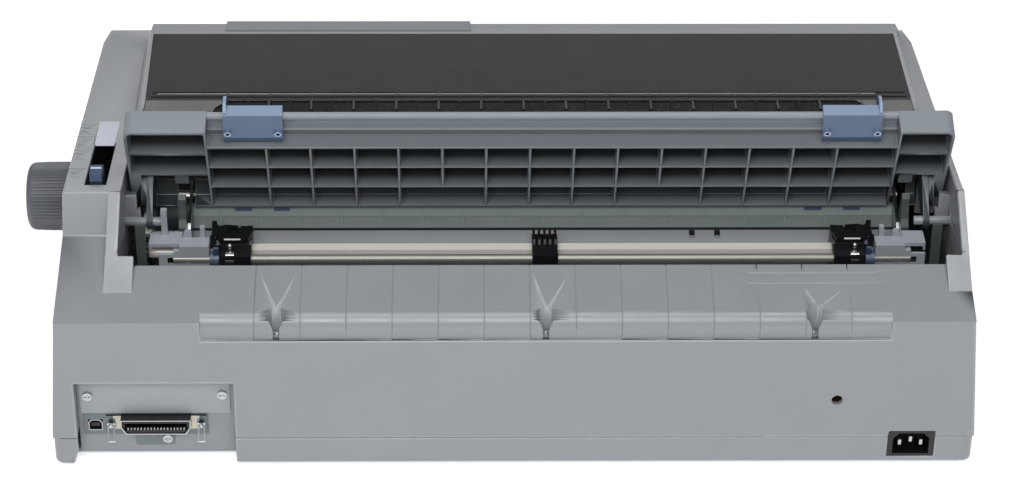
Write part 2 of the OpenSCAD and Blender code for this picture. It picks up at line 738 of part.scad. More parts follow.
module power_board() {
    color([0.45, 0.32, 0.16]) placed() {
        x0 = 11.4 - case_half_w;
        z = board_top_z - 0.1;
        block([x0, x0 + 142], [60, case_half_d - 33], [board_z, board_top_z]);
        block([x0 + 56, x0 + 96], [96, 132], [z, z + 17.1]);
        block([x0 + 112, x0 + 120], [70, 150], [z, z + 16.1]);
        for (x = [x0 + 16, x0 + 36]) translate([x, 90, z]) cylinder(h = 17, r = 8);
        block([x0 + 2, x0 + 22], [case_half_d - 61, case_half_d - 41], [z, z + 12.1]);
    }
}

// ---------- chassis ----------

holder_foot = [97, 97.6];
frame_outline = [[-95, 34], [124, 34], [128, 60], [128, holder_foot[1]], holder_foot,
    [holder_foot[0], 112], [88, 118], [76, 121], [62, 128], [38, 135], [0, 128], [-60, 118], [-95, 108]];
module side_frames() {
    color(steel) placed() {
        both_ends() difference() {
            across([frame_half_w, frame_half_w + frame_t], frame_outline);
            x_rod([frame_half_w - 1, frame_half_w + 5], platen, platen_shaft_r + run_fit);
            x_rod([frame_half_w - 1, frame_half_w + 5], carriage_axis, carriage_shaft_r);
            x_rod([frame_half_w - 1, frame_half_w + 5], idler_at, 2.5 + run_fit);
        }
        block(span(mech_x, frame_half_w + 0.5), [-95, 124], [34, 36]);
        // post that carries the idler pulley of the carriage belt
        difference() {
            block(span(mech_x + pulley_x, 8), span(pulley_at[0], 8), [35.5, pulley_at[1] - 5.5]);
            translate([mech_x + pulley_x, pulley_at[0], pulley_at[1] - 13])
                cylinder(h = 10, r = 2.5 + run_fit);
        }
    }
}

// A plate behind the gears, with a foot that reaches to the wall of the cavity
guard_y = [118, 120.5];
guard_gap = 0.2;
module gear_guard() {
    x = cavity_half_w * [1, 1] - [15, 8.7];
    block(x, guard_y, [97.8, 137]);
    block([x[1] - 0.5, cavity_half_w - guard_gap], guard_y, [97.8, 103]);
}

// The ribbed moulding behind the platen, with a horn on each side and a guard behind the gears
horn_outline = [[80, 112], [96, 112], [96, 119], [93, 124], [91, 132], [90.5, 138], [88, 141],
    [85.5, 139], [84, 129], [80, 121]];
module rear_frame() {
    color(green_grey) placed() {
        both_ends() across(frame_half_w * [1, 1] + frame_t * [1, 1] + [0.2, 5.2], horn_outline);
        translate([path_x, 0, 0]) {
            gear_guard();
            mirror([1, 0, 0]) gear_guard();
        }
        across(span(mech_x, frame_half_w - 0.2), [[62.5, 106], [62.5, 118], [66, 118], [72, 113.4],
            [72, 112.2], [75.6, 106.1], [75.6, 100], [68, 100]]);
        for (i = [-8:8]) across(span(mech_x + i * (frame_half_w - 18.85) / 8, 0.8), [[66, 117.9], [73, 113.4],
            [74.2, 109], [70, 109]]);
    }
}

// The sheet that leads the paper from the tractors to the platen
module guide_plate() {
    color(case_grey) placed() difference() {
        across(span(mech_x, frame_half_w - 0.2), [[76.3, 104.4], [84.5, 100.2], [88.3, 92],
            [88.3, 60], [86.8, 60], [86.8, 91.4], [83.4, 98.8], [76.3, 102.5]]);
        for (x = [-100.75, -117.85]) block(span(mech_x + x, 2), [70, 90], [101.4, 110]);
    }
}

module carriage_shaft() {
    color(steel) placed()
        x_rod(span(mech_x, frame_half_w + frame_t + 2), carriage_axis, carriage_shaft_r - 0.02);
}

module front_rail() {
    color(steel) placed() across(span(mech_x, frame_half_w - 0.2), [[-66, 36.2], [-64, 36.2], [-64, 88],
        [-52, 88], [-52, 90], [-66, 90]]);
}

// ---------- platen and its drive ----------

roller_half = frame_half_w - 5.25;
module platen_roller() {
    color([0.12, 0.12, 0.13]) placed() difference() {
        x_rod(span(mech_x, roller_half), platen, platen_r);
        x_rod(span(mech_x, roller_half + 1), platen, platen_shaft_r);
    }
}

module platen_shaft() {
    color(steel) placed() x_rod([mech_x - frame_half_w - 6, knob_x1 - 8], platen, platen_shaft_r);
}

module platen_gear() {
    color(light_grey) placed() x_gear(platen, platen_teeth, platen_shaft_r);
}

// The knurled knob: fine ridges on a barrel that rounds off at its outer end
module platen_knob() {
    ridges = 60;
    round_r = 5;
    color([0.38, 0.39, 0.41]) placed() translate([knob_x0, platen[0], platen[1]]) rotate([90, 0, 90])
        difference() {
        intersection() {
            linear_extrude(knob_len) polygon([for (i = [0:ridges - 1], k = [0:3])
                (k < 2 ? knob_r : knob_r - 0.9) * [cos((i + k * 0.25) * 360 / ridges),
                sin((i + k * 0.25) * 360 / ridges)]]);
            rotate_extrude($fn = 96) union() {
                square([knob_r - round_r, knob_len]);
                polygon([[0, 0], [knob_r + 0.6, 0], [knob_r - 0.4, knob_len - round_r],
                    [0, knob_len - round_r]]);
                translate([knob_r - round_r - 0.4, knob_len - round_r]) circle(r = round_r);
            }
        }
        translate([0, 0, -1]) cylinder(h = knob_len - 7, r = platen_shaft_r);
        translate([0, 0, -1]) difference() {
            cylinder(h = 15, r = knob_r - 3.5);
            cylinder(h = 16, r = 8);
        }
    }
}

motor_r = 21;
module feed_motor() {
    color([0.25, 0.26, 0.27]) placed() difference() {
        union() {
            x_rod(ahead(mech_x + frame_half_w + frame_t, 0.2, 20.3), pinion_at, motor_r);
            x_rod([gear_x0 - 5, gear_x0 - 1], pinion_at, 6);
        }
        x_rod([gear_x0 - 12, gear_x0], pinion_at, 2.5 + run_fit);
    }
}

module feed_pinion() {
    color([0.85, 0.85, 0.82]) placed() {
        x_gear(pinion_at, pinion_teeth, 2);
        x_rod([gear_x0 - 10, gear_x0 + gear_w + 0.5], pinion_at, 2.5);
    }
}

module idler_gear() {
    color([0.85, 0.85, 0.82]) placed() {
        x_gear(idler_at, idler_teeth, 2);
        x_rod([mech_x + frame_half_w + 0.1, gear_x0 + gear_w + 0.5], idler_at, 2.5);
    }
}

module carriage_motor() {
    color([0.25, 0.26, 0.27]) placed() translate([mech_x - pulley_x, pulley_at[0], 36]) difference() {
        union() {
            cylinder(h = 30, r = motor_r);
            cylinder(h = 31.6, r = 6);
        }
        translate([0, 0, 16]) cylinder(h = 20, r = 2.5 + run_fit);
    }
}

module pulley(x, stem) {
    translate([mech_x + x, pulley_at[0], pulley_at[1] - 4]) {
        cylinder(h = 8, r = pulley_r);
        translate([0, 0, -1]) cylinder(h = 1.2, r = pulley_r + 1.6);
        translate([0, 0, 7.8]) cylinder(h = 1.2, r = pulley_r + 1.6);
        translate([0, 0, -stem]) cylinder(h = stem, r = 2.5);
    }
}

module drive_pulley() { color(light_grey) placed() pulley(-pulley_x, 14); }
module idler_pulley() { color(light_grey) placed() pulley(pulley_x, 4); }

belt_gap = 0.3;
module carriage_belt() {
    r0 = pulley_r + belt_gap;
    r1 = r0 + 1.4;
    color(black) placed() translate([mech_x, pulley_at[0], pulley_at[1] - 3]) linear_extrude(6) difference() {
        union() {
            square([2 * pulley_x, 2 * r1], center = true);
            for (x = [-1, 1]) translate([x * pulley_x, 0]) circle(r = r1);
        }
        square([2 * pulley_x, 2 * r0], center = true);
        for (x = [-1, 1]) translate([x * pulley_x, 0]) circle(r = r0);
    }
}

module carriage() {
    color([0.20, 0.20, 0.21]) placed() difference() {
        union() {
            block(span(mech_x, 30), [-34, 6], [81, 97]);
            block(span(mech_x, 24), [-62, -33.5], [90.4, 94]);
            block(span(mech_x, 10), [-33, -26.6], [68.4, 81.2]);
            block(span(mech_x, 24), [-20, 10], [96.8, 100]);
        }
        x_rod(span(mech_x, 40), carriage_axis, carriage_shaft_r + run_fit);
        block(span(mech_x, 20), [-30.3, -27.7], [69, 76.6]);
    }
}

module print_head() {
    color([0.32, 0.33, 0.34]) placed() {
        block(span(mech_x, 20), [-22, 6], [100, 124]);
        for (i = [0:4]) block(span(mech_x, 22), [-20 + i * 5, -18 + i * 5], [102, 126]);
        along([5, 18], [[mech_x - 12, 102], [mech_x + 12, 102], [mech_x + 9, 120], [mech_x - 9, 120]]);
        block(span(mech_x, 4), [17, 25.6], [106, 117]);
    }
}

ribbon_half = frame_half_w - 47.25;
ribbon_y = hump_top[0] + 7;
module ribbon_cartridge() {
    color(black) placed() {
        block(span(mech_x, ribbon_half + 14), [ribbon_y, ribbon_y + 30], [102, 122]);
        both_ends() {
            block([ribbon_half + 2, ribbon_half + 14], [ribbon_y + 29, 22], [104, 119]);
            block([ribbon_half + 14, frame_half_w - 0.3], [ribbon_y + 4, ribbon_y + 18], [104, 110]);
        }
        translate([mech_x + 60, ribbon_y + 15, 121.8]) cylinder(h = 5, r = 9);
        block(span(mech_x, ribbon_half + 4), [26.2, 26.6], [106, 118]);
        both_ends() block([ribbon_half + 2, ribbon_half + 4], [21.8, 26.6], [106, 118]);
    }
}

module thickness_lever() {
    x = [mech_x + frame_half_w - 10, mech_x + frame_half_w - 6];
    color(clip_blue) placed() difference() {
        union() {
            x_rod(x, carriage_axis, 9);
            across(x, [[-22, 90], [-14, 96], [-30, 133], [-37, 131]]);
        }
        x_rod(x + [-1, 1], carriage_axis, carriage_shaft_r + run_fit);
    }
}

// ---------- tractor unit ----------

unit_x = mech_x + 1.55;
holder_in = frame_half_w - 15.75;
holder_out = holder_in + 19.5;
tractor_x = holder_in - tractor_in;
bar_journal_r = 4;
// The light blocks that carry the rod and the drive bar, stepped on their outer half
module tractor_holders() {
    color(light_grey) placed() for (side = [-1, 1]) translate([unit_x, 0, 0])
        mirror([side < 0 ? 1 : 0, 0, 0]) {
        shelf_end = holder_out + (side > 0 ? 20.4 : 14);
        difference() {
            union() {
                block([holder_in, holder_out], [98, 119], [holder_foot[1], 112]);
                block([holder_in, holder_out], [107.5, 119], [holder_foot[1], 119.5]);
                block([holder_out - 1, shelf_end], [100, 115.3], [116.6, 119.1]);
                block([shelf_end - 1.4, shelf_end], [108, 115.3], [113.6, 117]);
                block([holder_out - 1, holder_out + 13.8], [117, 119], [98, 113.2]);
                block([holder_out - 1, holder_out + 4], [108, 119], [110, 115.4]);
                // upright tabs along the front edge
                block([holder_in + 3, holder_in + 6.2], [104, 108], [111.5, 127]);
                block([holder_out - 7.6, holder_out - 1.9], [104, 108], [111.5, 121]);
                y_rod([104, 108], [holder_out - 4.75, 121], 2.85);
                if (side > 0) block([holder_out + 8.6, holder_out + 12.6], [100, 104], [118.5, 138]);
            }
            x_rod([holder_in - 1, holder_out + 30], bar, bar_journal_r + run_fit);
            x_rod([holder_in - 1, frame_half_w + 12], rod, rod_r);
        }
    }
}

module tractor_rod() {
    color(steel) placed() x_rod(span(unit_x, frame_half_w + 8), rod, rod_r);
}

module tractor_drive_bar() {
    color([0.80, 0.76, 0.71]) placed() {
        block(span(unit_x, holder_in - 0.6), span(bar[0], bar_side / 2), span(bar[1], bar_side / 2));
        x_rod([unit_x - holder_out - 6, gear_x0 + gear_w + 0.6], bar, bar_journal_r);
        x_gear(bar, bar_teeth, bar_journal_r - 0.5);
    }
}

module tractor_body(side) {
    x = unit_x + side * tractor_x;
    back_x = [x - side * tractor_half_w, x + side * (tractor_half_w - 3)];
    color(black) placed() difference() {
        union() {
            across(span(x, tractor_half_w), [[90.5, 112], [92, 118.6], [108, 117.4], [110.8, 115.4],
                [110.8, 97], [92, 97], [90.5, 100]]);
            across([min(back_x), max(back_x)], [[105, 115], [111.5, 114.6], [122, 113], [123, 103],
                [116, 97], [105, 97]]);
        }
        x_rod(span(x, 20), bar, bar_side / 2 * sqrt(2) + 0.5);
        x_rod(span(x, 20), rod, rod_r + run_fit);
        across(span(x, tractor_half_w - 4), [[91.5, 116.6], [91.5, 125], [107.5, 125], [107.5, 115.4]]);
    }
    color(black) placed() {
        for (i = [0:2]) translate([x, 94 + i * 5, 113]) cylinder(h = 5.3, r1 = 1.6, r2 = 1.2, $fn = 24);
        flap_lugs(x + side * tractor_half_w, side);
    }
}

// Two ears on the outer side of a tractor that hold the pin of its lid
flap_z = [119.2, 121.2];
flap_pin_x = 1.8;
flap_pin_z = 120.2;
module flap_lugs(out, side) {
    a = out - side * 0.6;
    b = out + side * (flap_pin_x + 1.6);
    for (y = [[90.9, 92.7], [108.3, 110.3]]) difference() {
        block([min(a, b), max(a, b)], y, [112.5, flap_pin_z + 1.6]);
        translate([out + side * flap_pin_x, 0, 0]) y_rod([85, 115], [0, flap_pin_z], 1 + run_fit);
        block(span(out - side * 0.3, 0.35), [85, 115], [118.8, 130]);
    }
}
module tractor_left() { tractor_body(1); }
module tractor_right() { tractor_body(-1); }

// A lid over the feed pins, hinged on the outer side of its tractor
module tractor_flap(side) {
    x = unit_x + side * tractor_x;
    out = x + side * tractor_half_w;
    hinge_x = out + side * flap_pin_x;
    w = tractor_half_w - 0.4;
    color(black) placed() {
        difference() {
            translate([x, 0, flap_z[0]]) mirror([side < 0 ? 1 : 0, 0, 0]) linear_extrude(2) polygon([
                [w, 97], [w, 107.8], [w - 1.6, 107.8], [w - 1.6, 112.6], [1.4 - w, 112.6],
                [-w - 1.9, 99.2], [2.4 - w, 96.7], [w - 5.6, 94.6]]);
            block(span(x, 4), [95.8, 105.5], [118, 123]);
        }
        translate([hinge_x, 0, 0]) y_rod([91, 110.2], [0, flap_pin_z], 1);
        block([min(out - side, hinge_x), max(out - side, hinge_x)], [97.2, 107.6], flap_z + [0.4, -0.4]);
    }
}
module tractor_flap_left() { tractor_flap(1); }
module tractor_flap_right() { tractor_flap(-1); }

module tractor_lock(side) {
    out = unit_x + side * (tractor_x + tractor_half_w);
    a = out - side * 2.6;
    b = out + side * 3.4;
    tab = out + side;
    color([0.20, 0.30, 0.50]) placed() difference() {
        union() {
            x_rod([min(a, b), max(a, b)], rod, 5.2);
            across([min(a, tab), max(a, tab)], [[114.6, 111], [119.4, 111], [121, 118.6], [118.6, 119]]);
        }
        x_rod([min(a, b) - 1, max(a, b) + 1], rod, rod_r + run_fit);
    }
}
module tractor_lock_left() { tractor_lock(1); }
module tractor_lock_right() { tractor_lock(-1); }

// The middle support that keeps the paper from sagging between the tractors
support_half_w = 8.5;
module centre_support() {
    color(black) placed() difference() {
        union() {
            across(span(mech_x, support_half_w), [[93, 110], [95, 113.5], [109, 113.5], [113, 113.2],
                [122, 113.4], [122, 104], [112, 98.5], [97, 98.5]]);
            for (i = [-2:2]) across(span(mech_x + i * 3.6, 0.8), [[93, 110], [94, 116.4], [106, 116.4],
                [108, 113]]);
        }
        x_rod(span(mech_x, 20), bar, bar_side / 2 * sqrt(2) + 0.5);
        x_rod(span(mech_x, 20), rod, rod_r + run_fit);
    }
}

// ---------- paper guide ----------

guide_half_w = cavity_half_w - guide_gap;
panel_x = [path_x - guide_half_w + 36.55, path_x + guide_half_w - 53.95];
skin_t = 2.5;
ledge_s = 73.4;
row_s = [28.6, 50.5];
wing_row_s = [42, 64.5];
guide_ribs = 14;
guide_rib_x0 = panel_x[1] - 38.6;
guide_rib_step = (guide_rib_x0 - panel_x[0] - 39.42) / (guide_ribs - 1);
rail_s = 86.6;
rail_r = 2.6;
pivot_rel = guide_pivot - guide_foot;
pivot_local = [pivot_rel[0] * cos(guide_lean) - pivot_rel[1] * sin(guide_lean),
    pivot_rel[0] * sin(guide_lean) + pivot_rel[1] * cos(guide_lean)];

// The smooth face of the panel, with its bent lower edge and its ledge
module guide_skin() {
    d = guide_depth;
    t = skin_t;
    guide_hem(panel_x);
    block(panel_x, [-d, -d + t], [17, 85.6]);
    block(panel_x, [-d + 0.5, 0], [ledge_s - 1.8, ledge_s]);
    block(panel_x, [-d + 0.5, -11], [ledge_s - 0.5, ledge_s + 5]);
    x_rod(panel_x, [-d + 1.9, rail_s], rail_r);
}

// The bent lower edge that the panel and its wings share
module guide_hem(x) {
    d = guide_depth;
    across(x, [[-d, 16], [-d, 19], [-d + skin_t, 19], [-d + skin_t, 17.2], [-9.2, 8.2], [0, 8.2],
        [0, 6.4], [-10.2, 6.4]]);
}

// A wing from the panel's edge out to its rounded outer corner
module guide_wing(edge, outer, side) {
    d = guide_depth;
    r = 6;
    cx = outer - side * r;
    cs = guide_h - r;
    flange = outer - side * 8;
    difference() {
        union() {
            along([-d, 0], [[edge, 16], [outer, 16], [outer, cs], [cx, cs], [cx, guide_h], [edge, guide_h]]);
            y_rod([-d, 0], [cx, cs], r);
        }
        along([-d + skin_t, 1], [[edge - side, 15], [outer - side * 2.2, 15], [outer - side * 2.2, cs],
            [cx, cs], [cx, guide_h - 2.2], [edge - side, guide_h - 2.2]]);
        y_rod([-d + skin_t, 1], [cx, cs], r - 2.2);
    }
    for (s = wing_row_s) block([min(edge, outer - side), max(edge, outer - side)], [-d + 1, -0.4],
        [s, s + rib_t]);
    block([min(flange, outer), max(flange, outer)], [-d, 0], [17, wing_row_s[0] + 1]);
}

module guide_ribs() {
    for (s = row_s) block(panel_x, [-guide_depth + 1, 0], [s, s + rib_t]);
    for (i = [0:guide_ribs - 1]) {
        x = guide_rib_x0 - i * guide_rib_step;
        low = (i == 4 || i == 9) ? row_s[0] : 7;
        across([x - rib_t / 2, x + rib_t / 2], [[-guide_depth + 1, max(low, 17)],
            [-guide_depth + 1, ledge_s - 1], [0, ledge_s - 1], [0, low], [min(low - 16.4, 0) - 0.01, low]]);
    }
    for (x = [panel_x[0] - rib_t, panel_x[1]])
        across([x, x + rib_t], [[-guide_depth, 17], [-guide_depth, guide_h], [0, guide_h], [0, 6.4],
            [-10, 6.4]]);
}

// The arm that hangs from a wing down to its pivot
module guide_arm(side) {
    inner = path_x + side * (cavity_half_w - 18.3);
    thin = inner + side * 4;
    thick = inner + side * 8.2;
    difference() {
        union() {
            across([min(inner, thin), max(inner, thin)], [[-guide_depth + 1, 17], [0, 17],
                [pivot_local[0] - 2, pivot_local[1] - 4.6], [pivot_local[0] + 2, pivot_local[1] + 4.6],
                [0, 36], [-guide_depth + 1, 36]]);
            across([min(inner, thick), max(inner, thick)], [[-guide_depth + 1, 17], [0, 17],
                [8, 18], [8, 27], [0, 34], [-guide_depth + 1, 34]]);
            x_rod([min(inner, thin), max(inner, thin)], pivot_local, 5);
        }
        x_rod([min(inner, thick) - 1, max(inner, thick) + 1], pivot_local, 3 + run_fit);
    }
}

module paper_guide() {
    x0 = path_x - guide_half_w;
    x1 = path_x + guide_half_w;
    horn_x = mech_x + frame_half_w;
    horn_x0 = mech_x - frame_half_w;
    color(guide_grey) placed() on_guide() {
        guide_skin();
        guide_wing(panel_x[1], x1, 1);
        guide_wing(panel_x[0], x0, -1);
        guide_hem([panel_x[1] - 0.5, horn_x - 2]);
        guide_hem([horn_x + frame_t + 7.3, x1 - 15]);
        guide_hem([horn_x0 - frame_t - 12.5, horn_x0 - frame_t - 6.6]);
        // boss over the horn
        block([horn_x + 0.4, horn_x + 9.6], [-guide_depth + 1, -3], [29, wing_row_s[0] + 1]);
        block([horn_x0 - 9.6, horn_x0 - 0.4], [-guide_depth + 1, -3], [29, wing_row_s[0] + 1]);
        guide_ribs();
        guide_arm(1);
        guide_arm(-1);
    }
}

// A sliding stop for the edge of the sheet, clipped over the rail of the guide
edge_guide_w = 39;
module edge_guide(x0, fin_x) {
    x = [x0, x0 + edge_guide_w];
    d = guide_depth;
    color(clip_blue) placed() on_guide() {
        across(x, [[-d - 3, 80], [-d - 3, 91.6], [-12.4, 91.6], [-5, 77.6], [-5, 73.9], [-7, 73.9],
            [-7, 77.2], [-12.6, 89.7], [-d - 1.2, 89.7], [-d - 1.2, 80]]);
        for (bx = [x[0] + 3, x[1] - 3]) difference() {
            y_rod([-9.5, -4.6], [bx, 81.5], 2.4);
            y_rod([-7.5, -4], [bx, 81.5], 1.2);
        }
        difference() {
            x_rod([fin_x, fin_x + 2], [-d - 3, 86], 9.5);
            block([fin_x - 1, fin_x + 3], [-d - 1.2, 10], [60, 89.7]);
        }
    }
}
module edge_guide_left() { edge_guide(panel_x[1] - 49.8, panel_x[1] - 13); }
module edge_guide_right() { edge_guide(panel_x[0] + 10.9, panel_x[0] + 11.1); }

// ---------- printer cover ----------

cover_front_y = hump_top[0] + 1.4;
cover_bend = [55, cover_z(55)];
cover_end = [70, cover_z(55) - 0.8];
cover_low_gap = 0.5;
cover_lean = 0.29;
cover_half_z = 156;

function cover_w(z, inset) = cover_half - inset - cover_lean * (z - cover_half_z);

// Front view of the cover: its sides lean in towards the top
module cover_front_view(inset) {
    z = [120, 205];
    w0 = cover_w(z[0], inset);
    w1 = cover_w(z[1], inset);
    along([cover_front_y - 12.4, 90], [[cover_x - w0, z[0]], [cover_x + w0, z[0]], [cover_x + w1, z[1]],
        [cover_x - w1, z[1]]]);
}

module printer_cover() {
    t = cover_t;
    f = cover_front_y;
    g = cover_low_gap;
    color(case_grey) placed() {
        difference() {
            intersection() {
                cover_front_view(0);
                across([-plan_w, plan_w], [[f, pod_z(f) + g], [cover_end_y + 8, pod_z(cover_end_y + 8) + g],
                    cover_end, cover_bend, [f, cover_z(f)]]);
            }
            intersection() {
                cover_front_view(t);
                across([-plan_w, plan_w], [[f + t, 100], [100, 100], [100, 220], [f + 6.4, 220],
                    [f + 6.4, cover_z(f) - t], [f + t, cover_z(f) - t]]);
            }
            // the front wall reaches down only to the hump
            block([mouth_x0 - 1, mouth_x1 + 1], [f - 1, f + t], [120, 147]);
        }
        for (side = [-1, 1]) {
            wall_x = cover_x + side * (cover_w(cover_pivot[1], t) + 1);
            pin_x = cover_x + side * (post_x - post_w / 2);
            x_rod([min(wall_x, pin_x), max(wall_x, pin_x)], cover_pivot, 3);
        }
    }
}

strip_x = cover_x * [1, 1] + cover_half * [-1, 1] + [43.2, -60.5];
strip_y = cover_bend[0] + 0.3;
column_step = (frame_half_w - 11.65) / 8;
module cover_window() {
    f = cover_front_y + 6.6;
    t = cover_t;
    color(smoke, 0.6) placed() {
        difference() {
            intersection() {
                cover_front_view(t + 0.1);
                across([-plan_w, plan_w], [[f, cover_z(f) - t], [f, cover_z(f)], cover_bend, cover_end,
                    cover_end - [0, t], cover_bend - [0, t]]);
            }
            along_up(strip_x, strip_y);
        }
        for (y = [37.5, 47]) across([mouth_x0 + 13, mouth_x1 - 14], [[y, cover_z(y) - 0.1],
            [y, cover_z(y) + 0.5], [y + 1, cover_z(y + 1) + 0.5], [y + 1, cover_z(y + 1) - 0.1]]);
    }
}

// The opening for the exit strip, with its two front corners cut off
module along_up(x, y) {
    c = 8;
    translate([0, 0, 150]) linear_extrude(80) polygon([[x[0] - 6, y + 30], [x[0], y + c], [x[0] + c, y],
        [x[1] - c, y], [x[1], y + c], [x[1] + 6, y + 30]]);
}

module exit_strip() {
    t = cover_t;
    color(black) placed() intersection() {
        union() {
            across([-plan_w, plan_w], [cover_bend - [0, 0.8], cover_end - [0, 0.8], cover_end - [0, t],
                cover_bend - [0, t]]);
            for (i = [-8:8]) across(span(mech_x + i * column_step, 0.8), [cover_bend - [0, t],
                cover_bend + [0, 0.2], cover_end + [0, 0.2], cover_end - [0, t]]);
        }
        along_up(strip_x + [0.15, -0.15], strip_y + 0.1);
    }
}

// ---------- controls ----------

lever_lean = 19.5;
lever_x = cavity_x1 * [1, 1] + [13.7, 21.7];
lever_axle_x = cavity_x1 * [1, 1] + [3.5, 30.5];
module release_lever() {
    color([0.20, 0.29, 0.45]) placed() translate([0, lever_pivot[0], lever_pivot[1]])
        rotate([-lever_lean, 0, 0]) {
        across(lever_x, [[-3, 0], [3, 0], [3.5, 44], [7, 50], [7, 64], [4, 67.5], [-4, 67.5],
            [-7, 64], [-7, 50], [-3.5, 44]]);
        x_rod(lever_axle_x, [0, 0], 3);
        x_rod(lever_x, [0, 0], 7);
        for (i = [0:3]) translate([0, 0, 51.5 + i * 3.4])
            across(lever_x, [[-6.5, 0], [-7.6, 0.7], [-7.6, 1.7], [-6.5, 2.4]]);
    }
}

panel_range = mouth_x1 * [1, 1] - [228, 51];
panel_rise = 1.6;
slope_dir = (hump_foot - hump_brow) / norm(hump_foot - hump_brow);
slope_out = [slope_dir[1], -slope_dir[0]];
top_dir = (hump_brow - hump_top) / norm(hump_brow - hump_top);
top_out = [top_dir[1], -top_dir[0]];
panel_end = hump_brow + slope_dir * 46;
button_step = 34;
button_x0 = panel_range[0] + 34;
button_s = [14, 26];
button_w = 24;

// A button's own frame: X along the printer, Y down the slope, Z out of it
module on_slope(x) {
    translate([x, hump_brow[0], hump_brow[1]])
        rotate([atan2(-slope_dir[1], -slope_dir[0]), 0, 0]) mirror([0, 1, 0]) children();
}

module control_panel() {
    brow_out = (slope_out + top_out) / norm(slope_out + top_out) * panel_rise * 1.03;
    color([0.52, 0.53, 0.55]) placed() difference() {
        across(panel_range, [hump_top + top_dir * 0.6, hump_brow, panel_end,
            panel_end + slope_out * panel_rise,
            hump_brow + brow_out, hump_top + top_dir * 0.6 + top_out * panel_rise]);
        for (i = [0:2]) on_slope(button_x0 + i * button_step)
            translate([0, 0, -1]) block([0, button_w], button_s, [0.8, 8]);
        for (i = [0:3]) on_slope(panel_range[1] - 55 + i * 12)
            translate([0, 20, 0.8]) cylinder(h = 3, r = 1.8);
    }
}

module button(i) {
    color(light_grey) placed() on_slope(button_x0 + i * button_step)
        block([0.4, button_w - 0.4], button_s + [0.4, -0.4], [1, 3.4]);
}
module button_pause() { button(0); }
module button_load() { button(1); }
module button_feed() { button(2); }

module power_switch() {
    y = switch_axle_y;
    color(black) placed() {
        across(span(switch_x, 8), [[y - 5, switch_z - 8], [y - 8.6, switch_z - 7.6], [y - 6.4, switch_z],
            [y - 6.4, switch_z + 7.6], [y - 4, switch_z + 8], [y + 4, switch_z + 3], [y + 4, switch_z - 3]]);
        x_rod(span(switch_x, 10.2), [y, switch_z], 2);
    }
}

module front_cover() {
    x = front_door_x + [0.6, -0.6];
    color(case_grey) placed() {
        block(x, [-case_half_d, 2.6 - case_half_d], [door_axle[1] - 3, front_door_z[1] - 0.6]);
        for (e = [[x[0], x[0] + 6], [x[1] - 6, x[1]]])
            block(e, [door_axle[0] - 1.5, door_axle[0] + 2.5], span(door_axle[1], 3));
        x_rod([x[0] - 5.2, x[0] + 1], door_axle, door_axle_r);
        x_rod([x[1] - 1, x[1] + 5.2], door_axle, door_axle_r);
        block([-40, 0], [0.2 - case_half_d, 4.4 - case_half_d], front_door_z[1] * [1, 1] - [5, 2]);
    }
}

lower_case();
upper_case();
rubber_feet();
case_screws();
interface_panel();
option_plate();
connector_plate();
panel_screws();
usb_socket();
parallel_connector();
parallel_contacts();
bail_clip_a();
bail_clip_b();
power_inlet();
inlet_pins();
main_board();
power_board();
side_frames();
rear_frame();
guide_plate();
carriage_shaft();
front_rail();
platen_roller();
platen_shaft();
platen_gear();
platen_knob();
feed_motor();
feed_pinion();
idler_gear();
carriage_motor();
drive_pulley();
idler_pulley();
carriage_belt();
carriage();
print_head();
ribbon_cartridge();
thickness_lever();
tractor_holders();
tractor_rod();
tractor_drive_bar();
tractor_left();
tractor_right();
tractor_flap_left();
tractor_flap_right();
tractor_lock_left();
tractor_lock_right();
centre_support();
paper_guide();
edge_guide_left();
edge_guide_right();
printer_cover();
cover_window();
exit_strip();
release_lever();
control_panel();
button_pause();
button_load();
button_feed();
power_switch();
front_cover();
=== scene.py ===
import json
import math

import bmesh
import bpy
from mathutils import Matrix, Vector


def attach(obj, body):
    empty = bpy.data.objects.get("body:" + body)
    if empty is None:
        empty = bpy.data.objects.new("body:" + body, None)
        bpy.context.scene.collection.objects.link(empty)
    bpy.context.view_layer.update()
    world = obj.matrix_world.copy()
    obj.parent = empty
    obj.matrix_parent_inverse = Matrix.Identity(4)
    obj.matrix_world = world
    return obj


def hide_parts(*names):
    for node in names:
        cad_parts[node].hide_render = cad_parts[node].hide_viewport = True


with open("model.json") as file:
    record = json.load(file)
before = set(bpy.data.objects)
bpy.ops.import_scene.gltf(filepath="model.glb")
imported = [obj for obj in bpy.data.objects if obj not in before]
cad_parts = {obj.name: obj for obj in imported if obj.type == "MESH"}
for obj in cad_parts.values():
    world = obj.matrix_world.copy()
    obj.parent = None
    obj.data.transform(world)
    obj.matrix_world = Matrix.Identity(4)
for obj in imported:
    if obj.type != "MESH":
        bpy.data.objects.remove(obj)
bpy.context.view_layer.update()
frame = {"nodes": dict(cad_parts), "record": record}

# ---------- places and sizes, in mm from the middle of the case unless a line says otherwise ----------

MM = 0.001                          # m in a mm
SHIFT = -13.3                       # the middle of the case along the frame's x

PATH_X = -16.75                     # the middle of the paper path
MECHANISM_X = -20.75                # the middle of the mechanism and of the cover
TRACTORS_X = -19.2                  # halfway between the two tractors
USB_X, USB_Z = 276, 25.9            # the middle of the USB socket
SOCKET_X, SOCKET_Z = 235.7, 29      # the middle of the parallel socket
ROD_Y, ROD_Z = 117, 108.5           # the rod that the tractors slide on

POD_FRONT, POD_REAR = (-135.8, 131.8), (113.1, 158.7)    # y and z where the side pods' tops begin and end
COVER_Z, COVER_RISE = 181.3, 0.234  # the cover's top over the middle of the case, and its rise per mm of y
COVER_BEND_Y = 55                   # behind this the cover falls gently
COVER_FALL = 0.8 / 15               # by this much per mm

